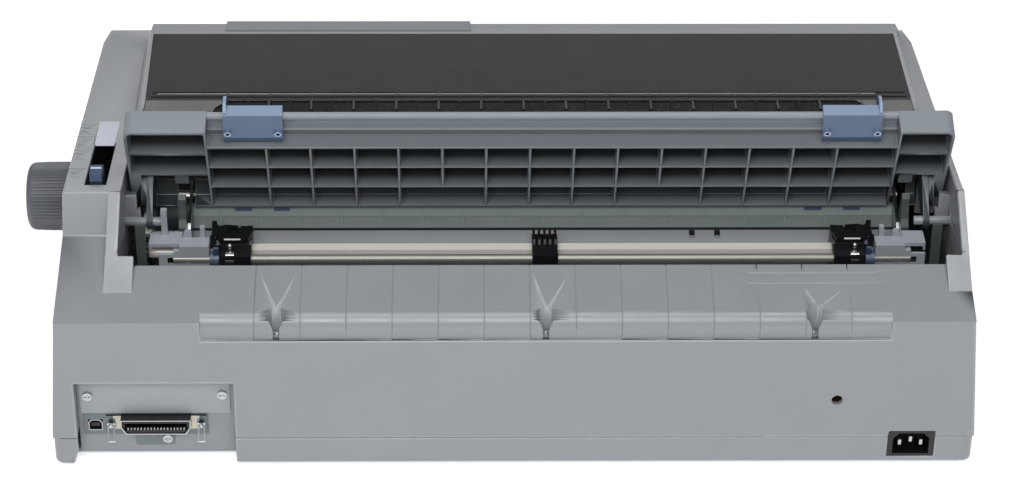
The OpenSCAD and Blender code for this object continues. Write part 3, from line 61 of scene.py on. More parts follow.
LEVER_Y, LEVER_Z = 71, 100          # the release lever's axle
LEVER_LEAN = math.radians(19.5)
LEVER_PAD_X, LEVER_PAD_Y = (268, 285), (8, 42)    # the lighter pad sunk in the pod in front of it
LEVER_PAD_SUNK = 0.2                # at least this deep

GUIDE_Y, GUIDE_Z = 70, 115          # the line the paper guide leans back about
LEAN = math.radians(22)
DEPTH_AXIS = 0, math.cos(LEAN), -math.sin(LEAN)    # the guide's own depth, from front to rear
REAR_FACE = GUIDE_Y * DEPTH_AXIS[1] + GUIDE_Z * DEPTH_AXIS[2]
POCKET_FADE = (REAR_FACE - 9.5) * MM, (REAR_FACE - 0.5) * MM    # the painted shade in its pockets is darkest at the first, m
STOP_X = {"edge_guide_left": 152.0, "edge_guide_right": -241.8}    # where the two sheet stops begin


def at(x, y, z):
    """A point given in mm from the middle of the case."""
    return Vector(((x + SHIFT) * MM, y * MM, z * MM))


def from_middle(v):
    """A point of the frame, in m, given in mm from the middle of the case."""
    return Vector((v.x / MM - SHIFT, v.y / MM, v.z / MM))


def leaned(v):
    """A direction seen from the paper guide's own leaning axes."""
    c, s = math.cos(LEAN), math.sin(LEAN)
    return Vector((v.x, v.y * c - v.z * s, v.y * s + v.z * c))


def on_guide(c):
    """A point in the paper guide's own leaning frame, mm."""
    return leaned(c - Vector((0, GUIDE_Y, GUIDE_Z)))


def pod_z(y):
    """The height of the side pods' tops."""
    (y0, z0), (y1, z1) = POD_FRONT, POD_REAR
    return z1 - (y1 - y) * (z1 - z0) / (y1 - y0)


def cover_z(y):
    """The height of the cover in front of its bend."""
    return COVER_Z + COVER_RISE * y


def cover_top(y):
    """The height of the cover, also behind its bend."""
    return cover_z(y) if y < COVER_BEND_Y else cover_z(COVER_BEND_Y) - COVER_FALL * (y - COVER_BEND_Y)


# ---------- camera ----------

YAW, TILT, ROLL = -0.0217, 0.5832, -0.0102    # radians
CAMERA = 36.16, 1721.9, 1175.46
PICTURE, FOCAL = 1024, 2894.98    # the picture's width and the focal length, pixels
FILM = 36                         # the sensor's width, mm

look = Vector((math.sin(YAW) * math.cos(TILT), -math.cos(YAW) * math.cos(TILT), -math.sin(TILT)))
right = Vector((-math.cos(YAW), -math.sin(YAW), 0))
down = look.cross(right)
rolled_right = math.cos(ROLL) * right + math.sin(ROLL) * down
rolled_down = -math.sin(ROLL) * right + math.cos(ROLL) * down
camera = bpy.data.objects.new("camera", bpy.data.cameras.new("camera"))
bpy.context.scene.collection.objects.link(camera)
turn = Matrix((rolled_right, -rolled_down, -look)).transposed().to_4x4()
camera.matrix_world = Matrix.Translation(at(*CAMERA)) @ turn
camera.data.sensor_width = FILM
camera.data.lens = FOCAL / PICTURE * FILM
camera.data.clip_end = 20
bpy.context.scene.camera = camera
bpy.context.scene.view_settings.view_transform = "Standard"


# ---------- materials ----------

def feed(tree, node, inputs):
    """Gives each named input of a shader node a value or another node's output."""
    for name, value in inputs.items():
        if isinstance(value, bpy.types.NodeSocket):
            tree.links.new(value, node.inputs[name])
        else:
            node.inputs[name].default_value = value


def add_node(tree, kind, inputs=None, **settings):
    """A new shader node with its settings and inputs."""
    made = tree.nodes.new("ShaderNode" + kind)
    for name, value in settings.items():
        setattr(made, name, value)
    feed(tree, made, inputs or {})
    return made


def remap(tree, value, source=(0, 1), target=(0, 1)):
    """Maps one range of values onto another."""
    ends = {"From Min": source[0], "From Max": source[1], "To Min": target[0], "To Max": target[1]}
    return add_node(tree, "MapRange", {"Value": value, **ends}).outputs["Result"]


def blend(tree, factor, a, b):
    """Mixes two colours."""
    inputs = {"Factor": factor, "A": a, "B": b}
    return add_node(tree, "Mix", inputs, data_type="RGBA").outputs["Result"]


def linear(hexa):
    """A colour written as #rrggbb in linear light."""
    rgb = [int(hexa[i:i + 2], 16) / 255 for i in (1, 3, 5)]
    return [c / 12.92 if c <= 0.04045 else ((c + 0.055) / 1.055) ** 2.4 for c in rgb] + [1]


def shade(rgb, k):
    """A colour made lighter or darker."""
    return [min(c * k, 1) for c in rgb[:3]] + [1]


COAT_ROUGH = 0.25
SPECK_RANGE = 0.60, 0.72            # the peaks of the grain that show as specks
SPECK_COLOUR = 0.6, 0.6, 0.62, 1
SMUDGE = 2.7                        # how much finer the uneven gloss is than the clouds of colour
SMUDGE_RANGE = 0.3, 0.7
GRAIN_DEPTH = 0.0003                # m


def material(name, hexa, rough=0.45, metal=0.0, grain=1500, bump=0.12, vary=0.05, blotch=16,
             rough_vary=0.07, stretch=(1, 1, 1), coat=0.0, specular=0.5, glass=0.0, speck=0.0,
             pocket_shade=1.0):
    """A procedural finish: cloudy colour, uneven gloss and a fine grain, all from the object's own space.
    A value below 1 paints shade into the bottoms of the paper guide's pockets, darkening them to that share."""
    m = bpy.data.materials.new(name)
    m.use_nodes = True
    tree = m.node_tree
    base = linear(hexa)
    place = add_node(tree, "TexCoord").outputs["Object"]
    mapped = add_node(tree, "Mapping", {"Scale": stretch, "Vector": place}).outputs["Vector"]

    def noise(scale, detail, harshness=0.55):
        inputs = {"Scale": scale, "Detail": detail, "Roughness": harshness, "Vector": mapped}
        return add_node(tree, "TexNoise", inputs).outputs["Fac"]

    colour = blend(tree, noise(blotch, detail=4), shade(base, 1 - vary), shade(base, 1 + vary))
    fine = noise(grain, detail=3, harshness=0.6)
    if speck:
        colour = blend(tree, remap(tree, fine, SPECK_RANGE, (0, speck)), colour, SPECK_COLOUR)
    # painted shade, deepest at the bottoms of the guide's pockets
    if pocket_shade < 1:
        depth = add_node(tree, "VectorMath", {0: place, 1: DEPTH_AXIS}, operation="DOT_PRODUCT")
        light = remap(tree, depth.outputs["Value"], POCKET_FADE)
        colour = blend(tree, light, shade(base, pocket_shade), colour)
    gloss = max(rough - rough_vary, 0.03), min(rough + rough_vary, 1)
    relief = {"Strength": bump, "Distance": GRAIN_DEPTH, "Height": fine}
    feed(tree, tree.nodes["Principled BSDF"], {
        "Base Color": colour,
        "Metallic": metal,
        "Specular IOR Level": specular,
        "Coat Weight": coat,
        "Coat Roughness": COAT_ROUGH,
        "Transmission Weight": glass,
        "Roughness": remap(tree, noise(blotch * SMUDGE, detail=5), SMUDGE_RANGE, gloss),
        "Normal": add_node(tree, "Bump", relief).outputs["Normal"],
    })
    return m


M = {
    "case": material("case_plastic", "#8b8e92", 0.35, bump=0.035, specular=0.65),
    # a lighter copy of the case plastic for rounded edges and raised lines: a painted highlight
    "case_edge": material("case_plastic_edge_highlight", "#999ca0", 0.3, bump=0.03, specular=0.65),
    "case_pad": material("case_plastic_pad", "#b4b7c4", 0.35, bump=0.03),
    "guide": material("guide_plastic", "#5f656a", 0.36, bump=0.1, specular=0.6),
    # a lighter copy of the guide plastic for its rounded edges: a painted highlight
    "guide_edge_highlight": material("guide_plastic_edge_highlight", "#757b80", 0.32, bump=0.05),
    "pale": material("pale_plastic", "#9aa0a6", 0.40),
    "green": material("green_plastic", "#84918f", 0.45),
    "green_shaded_slope": material("green_plastic_shaded_slope", "#626e6c", 0.45),
    "dark": material("dark_plastic", "#2b2c2e", 0.38),
    "black": material("black_plastic", "#131416", 0.35),
    "knob": material("knob_plastic", "#595c61", 0.45),
    "panel": material("panel_plastic", "#7c8085", 0.42),
    "blue": material("blue_plastic", "#566781", 0.38),
    "blue_lit_top": material("blue_plastic_lit_top", "#8494ac", 0.34),
    "blue_ring": material("blue_plastic_ring", "#b9c8dc", 0.34),
    "blue_shaded_foot": material("blue_plastic_shaded_foot", "#45546d", 0.42),
    "deep_blue": material("deep_blue_plastic", "#43526a", 0.36),
    "smoke": material("smoked_plastic", "#64615f", 0.10, bump=0.02, vary=0.02, rough_vary=0.03, glass=0.9),
    "natural": material("natural_plastic", "#d6d6ce", 0.4),
    "board": material("board_lacquer", "#1d5231", 0.3, coat=0.4),
    "brown_board": material("brown_board_lacquer", "#6e4f27", 0.4),
    "steel": material("plated_steel", "#b9bcbd", 0.30, metal=1, grain=600, stretch=(0.15, 1, 1), vary=0.08),
    "zinc": material("zinc_sheet", "#70797c", 0.42, metal=0.5, grain=500, vary=0.1, blotch=90),
    "pale_metal": material("pale_metal", "#9ba0a5", 0.4),
    "dark_metal": material("dark_metal", "#3c3f42", 0.45),
    "bar": material("bar_metal", "#e2ddd6", 0.3, metal=0.15, grain=500, stretch=(0.08, 1, 1), vary=0.06),
    "cream": material("cream_metal", "#c9c3b2", 0.35, metal=0.2),
    "speckled": material("speckled_plastic", "#0f1011", 0.6, grain=900, speck=0.16, specular=0.15),
    # lit and shaded copies of the guide plastic: painted light on its tops and rib faces, painted shade in
    # its pockets and on its side parts
    "guide_lit_top": material("guide_plastic_lit_top", "#858c92", 0.36, bump=0.1),
    "guide_pocket_shade": material("guide_plastic_pocket_shade", "#7a8084", 0.45, bump=0.1, specular=0.4, pocket_shade=0.17),
    "guide_shade": material("guide_plastic_shade", "#383d40", 0.45, specular=0.3),
    "frame_shade": material("frame_plastic_shade", "#474d4d", 0.45),
    "rod": material("rod_steel", "#8f8e88", 0.36, metal=0.5, grain=600, stretch=(0.15, 1, 1)),
    "rubber": material("rubber", "#202123", 0.7, bump=0.3),
    "white": material("white_slot_highlight", "#e4e4e0", 0.4),
}

FINISH = {
    "lower_case": "case", "upper_case": "case", "rubber_feet": "rubber", "case_screws": "steel",
    "interface_panel": "case", "option_plate": "pale_metal", "connector_plate": "zinc",
    "panel_screws": "steel", "usb_socket": "steel", "parallel_connector": "steel",
    "parallel_contacts": "black", "bail_clip_a": "steel", "bail_clip_b": "steel",
    "power_inlet": "black", "inlet_pins": "steel", "main_board": "board", "power_board": "brown_board",
    "side_frames": "steel", "rear_frame": "green", "guide_plate": "case", "carriage_shaft": "steel",
    "front_rail": "steel", "platen_roller": "rubber", "platen_shaft": "steel", "platen_gear": "pale",
    "platen_knob": "knob", "feed_motor": "dark_metal", "feed_pinion": "natural", "idler_gear": "natural",
    "carriage_motor": "dark_metal", "drive_pulley": "pale", "idler_pulley": "pale",
    "carriage_belt": "rubber", "carriage": "dark", "print_head": "dark_metal",
    "ribbon_cartridge": "black", "thickness_lever": "blue", "tractor_holders": "pale",
    "tractor_rod": "rod", "tractor_drive_bar": "bar", "tractor_left": "black",
    "tractor_right": "black", "tractor_flap_left": "black", "tractor_flap_right": "black",
    "tractor_lock_left": "deep_blue", "tractor_lock_right": "deep_blue", "centre_support": "black",
    "paper_guide": "guide", "edge_guide_left": "blue", "edge_guide_right": "blue",
    "printer_cover": "case", "cover_window": "smoke", "exit_strip": "speckled",
    "release_lever": "deep_blue", "control_panel": "panel", "button_pause": "pale",
    "button_load": "pale", "button_feed": "pale", "power_switch": "black", "front_cover": "case",
}
BODY = {n: b for b, ns in frame["record"]["behaviour"]["bodies"].items() for n in ns}


# ---------- pieces ----------

SMOOTH, CAD_SMOOTH = 35, 32    # faces that meet at a smaller angle are shaded as one, degrees
SOFT_ANGLE = 24                # edges flatter than this stay as they are, degrees
SHORT_EDGE = 40                # edges shorter than this may be rounded less
ROOM = 2.6                     # widths of the rounding that a face needs to take it whole
LEAST_SHARE = 0.12             # edges with room for less than this share stay sharp
WELD = 2e-6                    # corners nearer to each other than this are one, m


def new_piece(name, bm, finish, body):
    """A new object, in one finish or a list of them, that rides on a body."""
    mesh = bpy.data.meshes.new(name)
    bm.normal_update()
    bm.to_mesh(mesh)
    bm.free()
    o = bpy.data.objects.new(name, mesh)
    bpy.context.scene.collection.objects.link(o)
    for f in [finish] if isinstance(finish, str) else finish:
        mesh.materials.append(M[f])
    mesh.shade_smooth()
    mesh.set_sharp_from_angle(angle=math.radians(SMOOTH))
    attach(o, body)
    return o


def soften(node, edge, width, min_length, segments=2, small=1.0):
    """Stands in for a CAD node with its edges rounded off, less where a face is narrow; the rounded edges
    take a lighter finish, a painted highlight.
    Inner edges and short ones are rounded by the share small at most."""
    bm = bmesh.new()
    bm.from_mesh(frame["nodes"][node].data)
    bmesh.ops.remove_doubles(bm, verts=bm.verts, dist=WELD)
    weight = bm.edges.layers.float.new("bevel_weight_edge")
    for e in bm.edges:
        length = e.calc_length()
        if len(e.link_faces) == 2 and length > min_length * MM:
            if e.calc_face_angle(0) > math.radians(SOFT_ANGLE):
                room = min(f.calc_area() * 2 / length for f in e.link_faces)
                share = min(1, room / (ROOM * width * MM))
                if length < SHORT_EDGE * MM or not e.is_convex:
                    share = min(share, small)
                if share > LEAST_SHARE:
                    e[weight] = share
    o = new_piece(node + "_skin", bm, [FINISH[node], edge], BODY[node])
    weights = o.data.attributes["bevel_weight_edge"].data
    for e in o.data.edges:
        if weights[e.index].value > 0:
            e.use_edge_sharp = False
    bevel = o.modifiers.new("edges", "BEVEL")
    bevel.width = width * MM
    bevel.segments = segments
    bevel.limit_method = "WEIGHT"
    bevel.use_clamp_overlap = False
    # the rounded edges take the second, lighter finish: a painted highlight
    bevel.material = 1
    normals = o.modifiers.new("normals", "WEIGHTED_NORMAL")
    normals.weight = 80
    normals.keep_sharp = True
    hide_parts(node)
    return o


def paint(name, finish, test):
    """Gives another finish to the faces of one CAD node that pass a test of their middle and their normal."""
    o = frame["nodes"][name]
    o.data.materials.append(M[finish])
    turned = o.matrix_world.to_3x3()
    for p in o.data.polygons:
        if test(from_middle(o.matrix_world @ p.center), (turned @ p.normal).normalized()):
            p.material_index = len(o.data.materials) - 1


for name, node in frame["nodes"].items():
    node.data.materials.clear()
    node.data.materials.append(M[FINISH[name]])
    node.data.shade_smooth()
    node.data.set_sharp_from_angle(angle=math.radians(CAD_SMOOTH))
bpy.context.view_layer.update()

# ---------- CAD nodes in more than one finish ----------
# A test is given the middle of a face, in mm from the middle of the case, and its normal.

END_BLOCKS_X = -258.5, 217.5            # the rear frame is painted in shade outside these, where the case walls shadow it
FRAME_FOOT_Y, FRAME_FOOT_Z = 80, 107    # its foot lies in front of the first and below the second
BAR_END_X = 242.5                       # the drive bar is painted black beyond this: painted shade where the case wall shadows its gear
BLOCK_Y, BLOCK_Z = 185, SOCKET_Z + 1    # the parallel socket's dark top lies behind and above these
FLANGE_X, FLANGE_Y = 26, 192            # its flanges lie this far from its middle and in front of the second
TONGUE_X, TONGUE_Z = 3, 1.6             # the USB socket's tongue lies this near to its middle

# the rear frame's lower slope, its ends and its foot, painted darker: painted shade on the slope and ends,
# and a painted shadow in the gap in front of its foot
paint("rear_frame", "green_shaded_slope", lambda c, n: 0.3 < n.z < 0.6 and n.y > 0.7)
paint("rear_frame", "frame_shade", lambda c, n: not END_BLOCKS_X[0] <= c.x <= END_BLOCKS_X[1])
paint("rear_frame", "dark", lambda c, n: n.y > 0.8 and c.y < FRAME_FOOT_Y and c.z < FRAME_FOOT_Z)
paint("tractor_drive_bar", "black", lambda c, n: c.x > BAR_END_X)
paint("parallel_connector", "black", lambda c, n: n.z > 0.7 and c.z > BLOCK_Z and c.y > BLOCK_Y)
paint("parallel_connector", "zinc",
      lambda c, n: n.y > 0.7 and abs(c.x - SOCKET_X) > FLANGE_X and c.y < FLANGE_Y)
paint("usb_socket", "black", lambda c, n: abs(c.x - USB_X) < TONGUE_X and abs(c.z - USB_Z) < TONGUE_Z)

# The sheet stops' places along x are counted from where each begins, their heights and depths on the guide
STOP_TOP, STOP_FOOT = 91.4, 77.7    # their up-facing faces above the first are painted lit, and their faces below the second painted in shade
BOSS_X, BOSS_Z = (3, 36), 81.5      # the middles of their two bosses
BOSS_DEPTH = -9                     # the bosses lie behind this
BOSS_R, BORE_R = 2.5, 1.25


def on_boss(c, x0, radius):
    """Whether a point lies within a radius of the axis of one of a sheet stop's bosses."""
    g = on_guide(c)
    return g.y > BOSS_DEPTH and any(math.hypot(g.x - x0 - x, g.z - BOSS_Z) < radius for x in BOSS_X)


for name, x0 in STOP_X.items():
    # painted light on the sheet stops' tops and painted shade on their feet
    paint(name, "blue_lit_top", lambda c, n: on_guide(c).z > STOP_TOP and n.z > 0.3)
    paint(name, "blue_shaded_foot", lambda c, n: on_guide(c).z < STOP_FOOT and n.y > 0.3)
    paint(name, "blue_ring", lambda c, n: on_boss(c, x0, BOSS_R) and n.y > 0.85)
    # the bosses' bores are painted black: painted shade inside them
    paint(name, "black", lambda c, n: on_boss(c, x0, BORE_R))

# ---------- floor, backdrop and light ----------

FLOOR_SIZE = 6            # half its width, m
FLOOR_COLOUR = 0.93, 0.93, 0.93, 1
FLOOR_GLOW = 0.35, 0.5    # how much light it gives off to the object, and to the camera
WORLD_COLOUR = 0.96, 0.98, 1, 1
WORLD_LIGHT = 0.2


def stage():
    """A pale floor that glows a little, and a backdrop that is brighter than the light it gives."""
    bm = bmesh.new()
    bmesh.ops.create_grid(bm, x_segments=1, y_segments=1, size=FLOOR_SIZE)
    mesh = bpy.data.meshes.new("floor")
    bm.to_mesh(mesh)
    bm.free()
    floor = bpy.data.objects.new("floor", mesh)
    bpy.context.scene.collection.objects.link(floor)
    m = bpy.data.materials.new("floor_paint")
    m.use_nodes = True
    tree = m.node_tree
    bsdf = tree.nodes["Principled BSDF"]
    feed(tree, bsdf, {"Base Color": FLOOR_COLOUR, "Roughness": 0.9, "Specular IOR Level": 0.1})
    seen = add_node(tree, "LightPath").outputs["Is Camera Ray"]
    glow = add_node(tree, "Emission", {"Strength": remap(tree, seen, target=FLOOR_GLOW)})
    both = add_node(tree, "AddShader", {0: bsdf.outputs[0], 1: glow.outputs[0]})
    feed(tree, tree.nodes["Material Output"], {"Surface": both.outputs[0]})
    mesh.materials.append(m)

    world = bpy.data.worlds.new("studio")
    bpy.context.scene.world = world
    world.use_nodes = True
    tree = world.node_tree
    tree.nodes.clear()
    seen = add_node(tree, "LightPath").outputs["Is Camera Ray"]
    light = add_node(tree, "Background", {"Color": WORLD_COLOUR, "Strength": WORLD_LIGHT})
    backdrop = add_node(tree, "Background", {"Strength": 1})
    mix = add_node(tree, "MixShader", {0: seen, 1: light.outputs[0], 2: backdrop.outputs[0]})
    add_node(tree, "OutputWorld", {"Surface": mix.outputs[0]})


def lamp(name, place, target, size, power):
    """A rectangular lamp that points from its place to a target; all in m, and its power in W."""
    data = bpy.data.lights.new(name, "AREA")
    data.shape = "RECTANGLE"
    data.size, data.size_y = size
    data.energy = power
    o = bpy.data.objects.new(name, data)
    bpy.context.scene.collection.objects.link(o)
    o.location = place
    o.rotation_euler = (Vector(target) - Vector(place)).to_track_quat("-Z", "Y").to_euler()


stage()
lamp("overhead", (0, 0.42, 1.7), (0, 0.3, 0.1), (1.7, 0.42), 13)
lamp("key", (0.2, 1.9, 1.75), (0, 0.1, 0.1), (1.6, 0.8), 30)
lamp("front", (0, -2.4, 1.5), (0, 0, 0.12), (3, 1), 18)

# ---------- softened CAD pieces ----------

upper = soften("upper_case", "case_edge", width=1.6, min_length=6, segments=3, small=0.5).data
upper.materials.append(M["case_pad"])
for p in upper.polygons:
    c = from_middle(p.center)
    on_pad = LEVER_PAD_X[0] < c.x < LEVER_PAD_X[1] and LEVER_PAD_Y[0] < c.y < LEVER_PAD_Y[1]
    if on_pad and p.normal.z > 0.5 and c.z < pod_z(c.y) - LEVER_PAD_SUNK:
        p.material_index = len(upper.materials) - 1

soften("lower_case", "case_edge", width=0.9, min_length=9)

# Heights and depths on the paper guide, and a distance from the middle of the paper path
WING_X, WING_TOP = 225, 30    # the guide's shaded side parts lie beyond the first and below the second
POCKET_TOP = 70               # its pockets end below this
LIP_FOOT = 78                 # its lip, painted lit on its upper faces, begins above this
RIB_DEPTH = -2.5              # the faces of its ribs lie behind this, and the bottoms of its pockets in front

guide = soften("paper_guide", "guide_edge_highlight", width=0.4, min_length=5).data
first = len(guide.materials)
for finish in ("guide_lit_top", "guide_pocket_shade", "guide_shade"):
    guide.materials.append(M[finish])
LIT_FACES, SHADED_POCKETS, SHADE = range(first, first + 3)
# Painted light and shade: lit lip tops and rib faces, shade deepening into the pockets, and shade on the side
# parts
for p in guide.polygons:
    c, facing = from_middle(p.center), leaned(p.normal).y
    g = on_guide(c)
    if facing < -0.7:    # the smooth front face keeps its own colour
        continue
    if g.z < WING_TOP and abs(c.x - PATH_X) > WING_X:
        p.material_index = SHADE
    elif g.z > LIP_FOOT and max(p.normal.z, facing) > 0.6:
        p.material_index = LIT_FACES
    elif g.z < POCKET_TOP:
        p.material_index = LIT_FACES if facing > 0.7 and g.y > RIB_DEPTH else SHADED_POCKETS

soften("printer_cover", "case_edge", width=0.9, min_length=8, segments=3)

# ---------- simple shapes ----------

ROD_SIDES, BALL_SIDES = 20, 16
ARC_STEPS = 10


def box_mesh(bm, low, high, bevel):
    """A box between two corners given in mm from the middle of the case, with its edges rounded."""
    size = [(b - a) * MM for a, b in zip(low, high)]
    mid = at(*[(a + b) / 2 for a, b in zip(low, high)])
    made = bmesh.ops.create_cube(bm, size=1, matrix=Matrix.Translation(mid) @ Matrix.Diagonal((*size, 1)))
    edges = list({e for v in made["verts"] for e in v.link_edges})
    bmesh.ops.bevel(bm, geom=edges, offset=bevel * MM, segments=2, affect="EDGES", profile=0.7)


def rod_mesh(bm, a, b, radius):
    """A rod between two points given in mm from the middle of the case."""
    a, b, r = at(*a), at(*b), radius * MM
    turn = (b - a).to_track_quat("Z", "Y").to_matrix().to_4x4()
    bmesh.ops.create_cone(bm, cap_ends=True, segments=ROD_SIDES, radius1=r, radius2=r,
                          depth=(b - a).length, matrix=Matrix.Translation((a + b) / 2) @ turn)


def ball_mesh(bm, middle, radius, rings, depth=1):
    """A ball about a point given in mm from the middle of the case, or a dome flattened along y."""
    matrix = Matrix.Translation(at(*middle)) @ Matrix.Diagonal((1, depth, 1, 1))
    bmesh.ops.create_uvsphere(bm, u_segments=BALL_SIDES, v_segments=rings, radius=radius * MM, matrix=matrix)


def prism_mesh(bm, low, top):
    """A solid between two outlines with as many points, given in m."""
    low, top = ([bm.verts.new(v) for v in outline] for outline in (low, top))
    bm.faces.new(top)
    bm.faces.new(low[::-1])
    for i in range(len(low)):
        j = (i + 1) % len(low)
        bm.faces.new((low[i], low[j], top[j], top[i]))


def ribbon(bm, points, width, height, z_of, closed=False):
    """A raised line along points given as x, y in mm, lying on the surface z_of(y)."""
    sunk, lap = 0.3, 0.35    # how deep it sits, mm, and how far its stretches run past their ends, in widths
    if closed:
        points = points + points[:1]
    for start, end in zip(points, points[1:]):
        start, end = Vector(start), Vector(end)
        run = (end - start).normalized() * width
        side, over = Vector((-run.y, run.x)) / 2, run * lap
        corners = (start - over + side, end + over + side, end + over - side, start - over - side)
        prism_mesh(bm, *[[at(x, y, z_of(y) + up) for x, y in corners] for up in (-sunk, height)])
    bmesh.ops.recalc_face_normals(bm, faces=bm.faces)


def arc(cx, cy, rx, ry, a0, a1):
    """Points along part of an ellipse, from one angle to another in degrees."""
    turns = [math.radians(a0 + (a1 - a0) * i / ARC_STEPS) for i in range(ARC_STEPS + 1)]
    return [(cx + rx * math.cos(t), cy + ry * math.sin(t)) for t in turns]


# ---------- small pieces that the CAD nodes leave out ----------

def path_signs():
    """Raised paper-path signs on the pod beside the release lever: bars, sheets with curls, and rollers."""
    wide, thin = (0.9, 0.35), (0.7, 0.3)    # width and height of the lines
    bars, sheets, rollers = (6.8, 27.5, 48.3, 77.1), (9.6, 30.4, 51.2, 80.0), (9.6, 30.4)
    bm = bmesh.new()
    for y in bars:
        ribbon(bm, [(285.4, y), (296.2, y)], *wide, pod_z)
    for y in sheets:
        ribbon(bm, [(287.0, y), (290.0, y + 3.2), (295.4, y + 3.2), (292.6, y)], *thin, pod_z, closed=True)
        ribbon(bm, arc(290.8, y + 7.6, 2.6, 3.2, -120, 130), *thin, pod_z)
    for y in rollers:
        ribbon(bm, [(286.4, y + 6), (286.4, y + 14), (289.4, y + 14)], *thin, pod_z)
        ribbon(bm, arc(293.6, y + 11.6, 1.7, 2.4, 0, 360), *thin, pod_z)
    ribbon(bm, [(287, 63.6), (295, 63.6)], *thin, pod_z)
    # the raised signs take the lighter edge finish: a painted highlight
    new_piece("path_signs", bm, "case_edge", "base")


def lever_index():
    """A light line across the top of the release lever."""
    sides = 272.6, 279.8
    outline = (-0.9, 67.4), (-1.0, 67.7), (-1.7, 67.9), (-2.4, 67.7), (-2.5, 67.4)    # y and z from its axle
    c, s = math.cos(LEVER_LEAN), math.sin(LEVER_LEAN)
    leaning = [(LEVER_Y + y * c + z * s, LEVER_Z - y * s + z * c) for y, z in outline]
    bm = bmesh.new()
    prism_mesh(bm, *[[at(x, y, z) for y, z in leaning] for x in sides])
    bmesh.ops.recalc_face_normals(bm, faces=bm.faces)
    new_piece("lever_index", bm, "blue_ring", "paper_release")


def parallel_socket():
    """The outer ends of the parallel socket's contacts, its side brackets and its bails' round posts."""
    contacts, pitch, half_width = 18, 2.16, 0.42
    bm = bmesh.new()
    for i in range(contacts):
        x = SOCKET_X + (i - (contacts - 1) / 2) * pitch
        box_mesh(bm, (x - half_width, 194.9, SOCKET_Z - 2.45), (x + half_width, 196.3, SOCKET_Z - 1.6), 0.15)
    new_piece("contact_ends", bm, "natural", "base")

    bracket_x, bracket_y = 25, 191.2
    bm = bmesh.new()
    for side in (-1, 1):
        x = SOCKET_X + side * bracket_x
        box_mesh(bm, (x - 1.9, bracket_y, SOCKET_Z - 4.9), (x + 1.9, bracket_y + 0.8, SOCKET_Z + 5.4), 0.25)
        for z in (SOCKET_Z - 4.2, SOCKET_Z + 4.4):
            box_mesh(bm, (x - 3.4, bracket_y, z - 0.9), (x + 3.4, bracket_y + 0.6, z + 0.9), 0.25)
    new_piece("socket_brackets", bm, "cream", "base")

    post_x, post_z, post_r = 29.6, SOCKET_Z + 0.4, 1.35
    bm = bmesh.new()
    for side in (-1, 1):
        x = SOCKET_X + side * post_x
        rod_mesh(bm, (x, 194.6, post_z), (x, 196.4, post_z), post_r)
        ball_mesh(bm, (x, 196.4, post_z), post_r, rings=8, depth=0.4)
    new_piece("bail_posts", bm, "steel", "base")


def usb_insulator():
    """The dark insulator of the USB socket: a block deep inside and a tongue."""
    bm = bmesh.new()
    box_mesh(bm, (USB_X - 4.0, 176, 22.5), (USB_X + 4.0, 180.2, 29.0), 0.2)
    box_mesh(bm, (USB_X - 2.7, 179, USB_Z - 1.4), (USB_X + 2.7, 188.8, USB_Z + 1.4), 0.3)
    new_piece("usb_insulator", bm, "black", "base")


def window_marks():
    """A light line along the cover's window, and two rows of dark marks: across the line and behind it."""
    line_x, line_y = (238.4, -243.2), 41.5
    marks, pitch = 16, 28.25
    bm = bmesh.new()
    ribbon(bm, [(x, line_y) for x in line_x], 1.1, 0.35, cover_z)
    # the line takes the lighter edge finish: a painted highlight
    new_piece("window_line", bm, "case_edge", "cover")
    bm = bmesh.new()
    for i in range(marks):
        x = MECHANISM_X + (i - (marks - 1) / 2) * pitch
        ribbon(bm, [(x, 38.5), (x, 48)], 1.0, 0.5, cover_z)
        ribbon(bm, [(x, 57), (x, 66)], 1.3, 0.5, cover_top)
    new_piece("window_ticks", bm, "black", "cover")


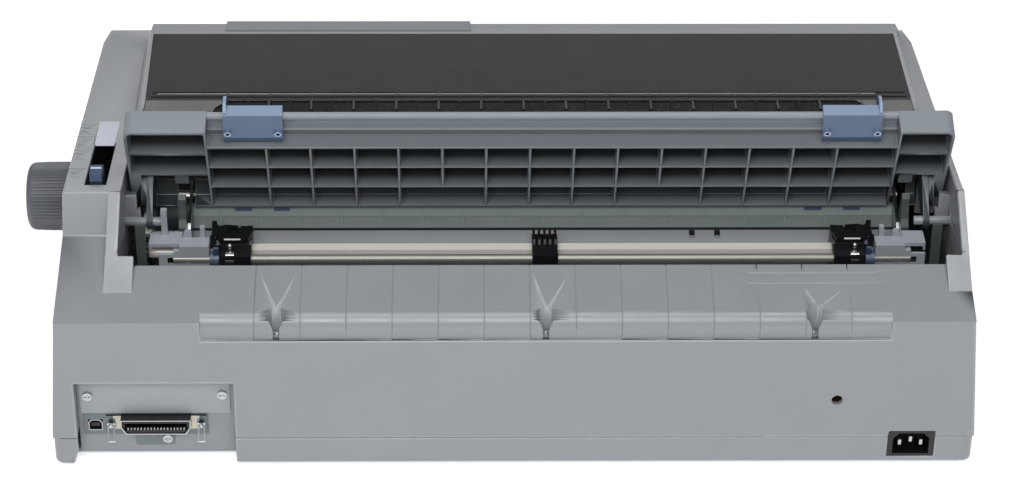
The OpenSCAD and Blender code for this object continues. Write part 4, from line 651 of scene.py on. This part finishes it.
def tractor_trim(side, name):
    """The ribbed sleeves, the metal knuckle and the white line on the flap of one tractor, a painted
    highlight along the flap's slot.
    Places along x are given for the left one, and the right one mirrors them."""
    def along(a, b):
        return sorted(TRACTORS_X + side * (x - TRACTORS_X) for x in (a, b))

    def on_rod(bm, x0, x1, radius):
        rod_mesh(bm, (x0, ROD_Y, ROD_Z), (x1, ROD_Y, ROD_Z), radius)

    sleeves = (176.5, 185.7, 5.0), (191.7, 195.7, 5.4)    # from, to and radius over the ribs
    ribs, rib_height = 5, 0.4
    knuckle_x, knuckle_r = (185.8, 191.4), 5.8
    slot_highlight_x = 181.6, 192.4

    bm = bmesh.new()
    for a, b, radius in sleeves:
        x0, x1 = along(a, b)
        pitch = (x1 - x0) / ribs
        for i in range(ribs):
            on_rod(bm, x0 + (i + 0.1) * pitch, x0 + (i + 0.8) * pitch, radius)
        on_rod(bm, x0, x1, radius - rib_height)
    new_piece("tractor_sleeve_" + name, bm, "black", BODY["tractor_" + name])

    bm = bmesh.new()
    x0, x1 = along(*knuckle_x)
    mid = (x0 + x1) / 2
    on_rod(bm, x0, x1, knuckle_r)
    rod_mesh(bm, (mid, 116.4, 111), (mid, 116.1, 117.6), 1.3)
    ball_mesh(bm, (mid, 116, 118), 1.9, rings=10)
    new_piece("tractor_knuckle_" + name, bm, "steel", BODY["tractor_" + name])

    # a painted highlight along the slot in the flap's top
    bm = bmesh.new()
    x0, x1 = along(*slot_highlight_x)
    box_mesh(bm, (x0, 112.2, 120.6), (x1, 113.0, 121.4), 0.1)
    new_piece("tractor_slot_highlight_" + name, bm, "white", BODY["tractor_flap_" + name])


def rear_labels():
    """Dark blue labels on the upper slope of the rear frame."""
    spans = (176.6, 188.2), (151, 161.8), (-210.1, -198), (-236, -224.5)
    y0, y1 = 67.3, 69.3
    top_y, top_z, fall = 66, 118, 4.6 / 6    # where the slope begins, and its fall per mm
    proud = 0.12
    bm = bmesh.new()
    for x0, x1 in spans:
        corners = (x0, y0), (x1, y0), (x1, y1), (x0, y1)
        bm.faces.new([bm.verts.new(at(x, y, top_z - (y - top_y) * fall + proud)) for x, y in corners])
    bmesh.ops.recalc_face_normals(bm, faces=bm.faces)
    new_piece("rear_labels", bm, "deep_blue", "base")


path_signs()
lever_index()
parallel_socket()
usb_insulator()
window_marks()
for side, name in ((1, "left"), (-1, "right")):
    tractor_trim(side, name)
rear_labels()
